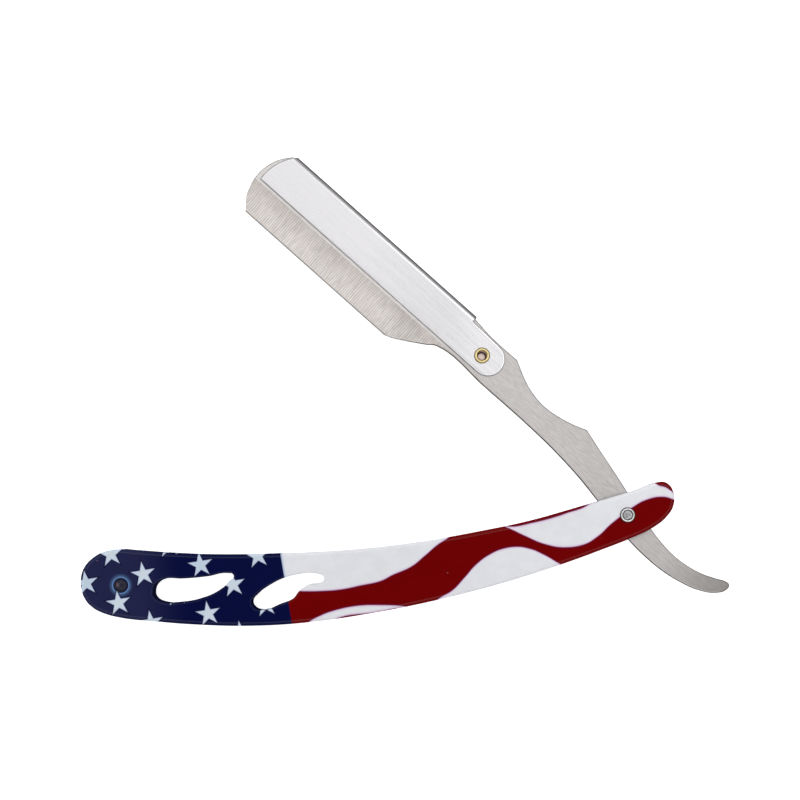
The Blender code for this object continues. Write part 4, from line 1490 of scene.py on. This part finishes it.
@dataclass(frozen=True)
class Blade:
    """The half blade and its three locating studs."""

    bench: Bench
    sizes: ArmSizes
    blade: BladeSizes
    stud_softness: float = 0.12
    hone_share: float = 0.42

    def sheet(self) -> Shape:
        """Returns the half blade: notched above, honed to its edge below."""
        low, high = levels_of("half_blade")
        half = self.blade.length / 2
        middle = self.blade.middle(self.sizes)
        top = self.blade.top(self.sizes)
        bottom = top - self.blade.width
        corner = self.blade.corner
        points = [(-half, bottom), (-half, top - corner), (corner - half, top),
                  (half - corner, top), (half, top - corner), (half, bottom)]
        shape = plate([Knot(middle + x, y, Bend.CORNER) for x, y in points], low, high)
        cutters = []
        for place in self.blade.studs(self.sizes):
            cutters.append(cone(place, self.blade.notch, self.blade.notch, low - BEYOND, high + BEYOND))
        shape = carved(shape, cutters)
        tilt = math.atan2((high - low) * self.hone_share, self.blade.honed)
        for side, level in ((-1, low), (1, high)):
            lift = 0.0 if side > 0 else -BEYOND
            start = Vector((middle, bottom + self.blade.honed, level))
            hone = block((middle - half - BEYOND, start.y + bottom - BEYOND, level + lift),
                         (middle + half + BEYOND, start.y, level + lift + BEYOND))
            turn = Matrix.Rotation(side * tilt, 3, "X")
            bmesh.ops.rotate(hone, verts=hone.verts[:], cent=start, matrix=turn)
            shape = carved(shape, [hone])
        return shape

    def stud(self, node: str, place: tuple[float, float]) -> Shape:
        """Returns one stud, its ends softened."""
        low, high = levels_of(node)
        radius = self.blade.stud_radius
        shape = turned([(0.0, high), (radius, high), (radius, low), (0.0, low)], place)
        round_over(shape, sharp_edges(shape), self.stud_softness, 3)
        return shape

    def build(self) -> None:
        """Builds and dresses the blade and the studs."""
        bright = BrushedSteel("blade_steel_finish", self.bench, ink(232, 232, 236), ink(205, 206, 212),
                              Grain.LENGTHWISE, (0.16, 0.28), 0.001).made()
        finished(Label("half_blade_honed", "half_blade", Body.ARM, Slot.BLADE), self.sheet(),
                 self.bench, [bright])
        for i, place in enumerate(self.blade.studs(self.sizes), start=1):
            node = f"blade_stud_{i}"
            steel = TurnedMetal(f"stud_steel_{i}", self.bench, place, ink(206, 204, 200),
                                ink(176, 174, 170), (0.28, 0.42)).made()
            finished(Label(node + "_pin", node, Body.ARM, Slot.PLAIN), self.stud(node, place),
                     self.bench, [steel])


@dataclass(frozen=True)
class Eyelet:
    """The blind brass eyelet that the cover swings on: rolled lip in front, closed head behind."""

    bench: Bench
    place: tuple[float, float]
    head_radius: float = 1.985
    body_radius: float = 1.45
    bore_radius: float = 1.1
    head_height: float = 0.3
    floor: float = 0.6
    corner: float = 0.12
    lip_steps: int = 20

    def shape(self) -> Shape:
        """Returns the eyelet."""
        low, high = levels_of("eyelet")
        seat = high - self.head_height
        back = low + self.head_height
        reach = (self.head_radius - self.bore_radius) / 2
        floor = back + self.floor
        profile = [(0.0, floor), (self.bore_radius - self.corner, floor),
                   (self.bore_radius, floor + self.corner)]
        for i in range(self.lip_steps + 1):
            angle = math.pi * (1 - i / self.lip_steps)
            across = self.bore_radius + reach * (1 + math.cos(angle))
            profile.append((across, seat + self.head_height * math.sin(angle)))
        profile += [(self.body_radius, seat), (self.body_radius, back)]
        profile += upside_down(dome(self.head_radius, 0.0, self.head_height), back / 2)
        return turned(profile, self.place)

    def build(self) -> None:
        """Builds and dresses the eyelet."""
        # Brass colours by distance from the axis, with painted light: painted shade on the bore's wall, a
        # painted highlight on the rolled lip and a painted dark line round its outer edge.
        tint_and_painted_shading = ((0.0, ink(255, 236, 228)), (0.80, ink(250, 226, 216)), (0.98, ink(96, 52, 30)),
                (1.14, ink(128, 78, 36)), (1.30, ink(236, 200, 112)), (1.54, ink(255, 248, 196)),
                (1.80, ink(228, 192, 104)), (1.97, ink(112, 84, 34)))
        brass = TurnedMetal("eyelet_brass_finish", self.bench, self.place, ink(255, 255, 255),
                            ink(232, 230, 226), (0.12, 0.22), tint_and_painted_shading=tint_and_painted_shading).made()
        finished(Label("eyelet_rolled", "eyelet", Body.ARM, Slot.EYELET), self.shape(), self.bench, [brass])


@dataclass(frozen=True)
class Cover:
    """The swing cover: a channel folded over the spine, with a tongue on each side at the eyelet."""

    bench: Bench
    sizes: ArmSizes
    sheet: float = 0.6
    lower: float = 1.9
    fold_radius: float = 1.2
    nose_setback: float = 1.35
    nose_radius: float = 13.9
    nose_drop: float = 0.5
    fold_end_back: float = 7.4
    tongue_root: float = 8.7
    tongue_width: float = 8.4
    edge_radius: float = 0.16
    dressed_width: float = 0.28
    dressed_depth: float = 0.04
    least_flat: float = 1.0
    gap: float = 0.1
    fold_tilt: float = 0.94
    bore: float = 1.53

    def spine(self) -> float:
        """Returns the height of the fold's outside."""
        return self.sizes.spine + self.gap + self.sheet

    def outline(self) -> list[Knot]:
        """Returns the outline, clockwise from the lower nose corner."""
        middle = (self.sizes.spine + self.sizes.edge) / 2 + self.nose_drop
        centre = (self.sizes.nose_x + self.nose_setback + self.nose_radius, middle)
        low = math.degrees(math.asin((middle - self.lower) / self.nose_radius))
        high = math.degrees(math.asin((self.spine() - middle) / self.nose_radius))
        fold_end = self.sizes.eyelet_x - self.fold_end_back
        half = self.tongue_width / 2
        tongue = (self.sizes.eyelet_x + self.sizes.tongue_reach - half, self.lower + half)
        return [
            *arc(centre, self.nose_radius, 180 + low, 180 - high, 5),
            Knot(fold_end, self.spine(), Bend.CORNER),
            Knot(fold_end, self.lower + self.tongue_root, Bend.CORNER),
            *arc(tongue, half, 90, -90, 8),
        ]

    def moulding(self, top: float, level: float, way: int) -> Shape:
        """Makes the cutter that rounds one side of the fold.

        Args:
            top: Height of the fold's outside.
            level: Level of the face that the round runs into.
            way: 1 at the front face, -1 at the back face.

        Returns:
            A bar along the arm, hollowed to the fold's radius.
        """
        radius = self.fold_radius
        outer = radius + 1.0
        square = [Knot(x, y, Bend.CORNER) for x, y in ((0.0, outer), (outer, outer), (outer, 0.0))]
        section = [*arc((0.0, 0.0), radius, 0.0, 90.0, 5), *square]
        bar = plate(section, self.sizes.nose_x - BEYOND, self.sizes.eyelet_x, 4)
        laid = Matrix(((0.0, 0.0, 1.0, 0.0), (1.0, 0.0, 0.0, top - radius),
                       (0.0, way, 0.0, level - way * radius), (0.0, 0.0, 0.0, 1.0)))
        bmesh.ops.transform(bar, matrix=laid, verts=bar.verts[:])
        bmesh.ops.recalc_face_normals(bar, faces=bar.faces[:])
        return bar

    def shape(self) -> Shape:
        """Returns the folded cover."""
        low, high = levels_of("swing_cover")
        back, front = low + self.dressed_depth, high - self.dressed_depth
        top = self.spine()
        corners = [self.moulding(top, front, 1), self.moulding(top, back, -1)]
        shape = carved(plate(self.outline(), back, front), corners)
        round_over(shape, sharp_edges(shape), self.edge_radius, 3)
        flats = [face for face in shape.faces
                 if abs(face.normal.z) > FLAT and face.calc_area() > self.least_flat]
        bmesh.ops.inset_region(shape, faces=flats, thickness=self.dressed_width,
                               depth=self.dressed_depth, use_boundary=True, use_even_offset=True)
        hollow = block((self.sizes.nose_x - BEYOND, self.sizes.edge - BEYOND, low + self.sheet),
                       (self.sizes.eyelet_x + self.sizes.tongue_reach + BEYOND, top - self.sheet,
                        high - self.sheet))
        inside = sharp_edges(hollow, lambda at: abs(at.y - top + self.sheet) < MERGE
                             and min(at.z - low, high - at.z) < self.sheet + MERGE)
        round_over(hollow, inside, self.fold_radius - self.sheet, 6)
        eyelet = (self.sizes.eyelet_x, EYELET_HEIGHT)
        bore = cone(eyelet, self.bore, self.bore, low - BEYOND, high + BEYOND)
        return self.marked(carved(shape, [hollow, bore]), top)

    def marked(self, shape: Shape, top: float) -> Shape:
        """Marks the cover's upright edges and its fold for their own finishes."""
        for face in shape.faces:
            folded = face.calc_center_median().y > top - self.fold_radius
            if folded and abs(face.normal.z) < self.fold_tilt and face.normal.y > 0.0:
                face.material_index = 1
            elif abs(face.normal.z) < UPRIGHT:
                # Upright faces take the darker wall finish, which paints shade on the sheet's edges.
                face.material_index = 2
        return shape

    def build(self) -> None:
        """Builds and dresses the cover."""
        fold = BrushedSteel("cover_fold", self.bench, ink(255, 250, 252), ink(240, 236, 238),
                            Grain.LENGTHWISE, (0.34, 0.44)).made()
        # Painted shade: a darker copy of the cover steel on its upright edges, standing in for the dark
        # lines along them and under the tongue.
        shaded_walls = BrushedSteel("cover_walls_painted_shade", self.bench, ink(120, 120, 124), ink(92, 92, 96),
                             Grain.LENGTHWISE, (0.5, 0.6)).made()
        # Painted shading: the cover is made darker towards its nose, standing in for less light reflected
        # there.
        tint_and_painted_shading = ((-122.0, ink(227, 227, 227)), (-92.0, ink(238, 238, 238)), (-66.0, ink(240, 240, 240)),
                (-56.0, ink(255, 255, 255)))
        bright = BrushedSteel("cover_satin", self.bench, ink(252, 250, 252), ink(244, 243, 246),
                              Grain.LENGTHWISE, (0.26, 0.34), 0.0015, tint_and_painted_shading=tint_and_painted_shading).made()
        finished(Label("swing_cover_folded", "swing_cover", Body.COVER, Slot.COVER), self.shape(),
                 self.bench, [bright, fold, shaded_walls])


# --- Studio ------------------------------------------------------------------------------------


@dataclass(frozen=True)
class Studio:
    """A pale floor, soft light from all round and a camera straight above."""

    middle: tuple[float, float] = (-0.0014, -0.0023)
    stand: tuple[float, float] = (-0.0014, -0.033)
    face_level: float = 0.0062
    height: float = 0.400
    view_width: float = 0.200
    sensor: float = 36.0
    floor_reach: float = 6.0
    slot_width: float = math.radians(12.6)
    slot_depth: float = math.radians(4.4)
    slot_back: float = math.radians(0.9)
    lamp_size: tuple[float, float] = (0.5, 0.3)
    lamp_watts: float = 1.08
    lamp_place: tuple[float, float, float] = (-0.20, 0.16, 0.55)
    rings: tuple[tuple[float, float], ...] = (
        (180.0, 0.03), (92.0, 0.05), (86.0, 0.24), (70.0, 0.30), (50.0, 0.32), (34.0, 0.36),
        (28.0, 1.6), (19.0, 1.8), (14.0, 1.1), (10.5, 0.88), (6.0, 0.85), (0.0, 0.85),
    )

    def camera(self) -> None:
        """Sets up the camera, looking straight down over the handle."""
        data = bpy.data.cameras.new("camera")
        data.sensor_width = self.sensor
        data.lens = self.sensor * self.height / self.view_width
        data.clip_start = 0.005
        data.clip_end = 50.0
        camera = bpy.data.objects.new("camera", data)
        camera.location = (*self.stand, self.face_level + self.height)
        data.shift_x = (self.middle[0] - self.stand[0]) / self.view_width
        data.shift_y = (self.middle[1] - self.stand[1]) / self.view_width
        bpy.context.scene.collection.objects.link(camera)
        bpy.context.scene.camera = camera

    def floor(self) -> None:
        """Lays the floor, which shines a little so that it stays pale in the shade."""
        shape = bmesh.new()
        bmesh.ops.create_grid(shape, x_segments=1, y_segments=1, size=self.floor_reach)
        floor = stand_in(shape, "pale_floor")
        made = bpy.data.materials.new("floor_paper")
        made.use_nodes = True
        w = Wiring(made.node_tree)
        shader = made.node_tree.nodes["Principled BSDF"]
        place = w.node("ShaderNodeTexCoord").outputs["Object"]
        mottle = w.node("ShaderNodeTexNoise", {"Vector": place, "Scale": 6.0}).outputs[0]
        w.feed(shader.inputs["Base Color"], w.blend(mottle, ink(232, 232, 232), ink(236, 236, 236)))
        shader.inputs["Roughness"].default_value = 1.0
        shader.inputs["Specular IOR Level"].default_value = 0.0
        shader.inputs["Emission Color"].default_value = (1.0, 1.0, 1.0, 1.0)
        shader.inputs["Emission Strength"].default_value = 0.85
        floor.data.materials.append(made)
        floor.visible_glossy = False

    def sky(self) -> None:
        """Hangs a tent of soft light with a bright ring, and a dark slot straight above."""
        world = bpy.data.worlds.new("soft_tent")
        bpy.context.scene.world = world
        world.use_nodes = True
        w = Wiring(world.node_tree)
        background = world.node_tree.nodes["Background"]
        direction = w.node("ShaderNodeTexCoord").outputs["Generated"]
        x, y, up = w.parts(direction)
        stops = [(math.cos(math.radians(angle)), (light, light, light, 1.0))
                 for angle, light in self.rings]
        tent = w.ramp(up, stops)
        wide = w.calc("DIVIDE", w.calc("ABSOLUTE", x), math.sin(self.slot_width))
        behind = w.calc("ADD", y, math.sin(self.slot_back))
        deep = w.calc("DIVIDE", w.calc("ABSOLUTE", behind), math.sin(self.slot_depth))
        open_slot = w.ease(w.calc("MAXIMUM", wide, deep), 0.9, 1.15, 0.03, 1.0)
        tent = w.blend(1.0, tent, open_slot, "MULTIPLY")
        seen = w.node("ShaderNodeLightPath").outputs["Is Camera Ray"]
        w.feed(background.inputs["Color"], w.blend(seen, tent, (1.0, 1.0, 1.0, 1.0)))
        background.inputs["Strength"].default_value = 1.0

    def lamp(self) -> None:
        """Adds a broad soft light above the nose, which fills the shade and makes no glints."""
        data = bpy.data.lights.new("soft_box", "AREA")
        data.shape = "RECTANGLE"
        data.size, data.size_y = self.lamp_size
        data.energy = self.lamp_watts
        lamp = bpy.data.objects.new("soft_box", data)
        lamp.location = self.lamp_place
        lamp.visible_glossy = False
        lamp.rotation_euler = (-lamp.location).to_track_quat("-Z", "Y").to_euler()
        bpy.context.scene.collection.objects.link(lamp)

    def build(self) -> None:
        """Sets up the camera, the floor and the lights."""
        self.camera()
        self.floor()
        self.sky()
        self.lamp()
        bpy.context.scene.view_settings.view_transform = "Standard"


def main() -> None:
    """Builds the razor's sub-assemblies in order, then the studio."""
    logging.basicConfig(level=logging.INFO, format="%(name)s: %(message)s")
    on_handle = handle_bench()
    on_arm = arm_bench()
    rivet_gap = (middle_of("pivot_rivet") - middle_of("butt_rivet")).length * MILLIMETRES
    to_eyelet = (middle_of("pivot_rivet") - middle_of("eyelet")).length * MILLIMETRES
    eyelet_x = -math.sqrt(to_eyelet ** 2 - EYELET_HEIGHT ** 2)
    sizes = ArmSizes(eyelet_x=eyelet_x, nose_x=eyelet_x - 72.35)
    blade = BladeSizes()
    Handle(on_handle, rivet_gap).build()
    ButtEnd(on_handle, rivet_gap).build()
    Pivot(on_handle).build()
    Arm(on_arm, sizes, blade).build()
    Blade(on_arm, sizes, blade).build()
    Eyelet(on_arm, (eyelet_x, EYELET_HEIGHT)).build()
    Cover(on_arm, sizes).build()
    Studio().build()


if __name__ == "__main__":
    main()
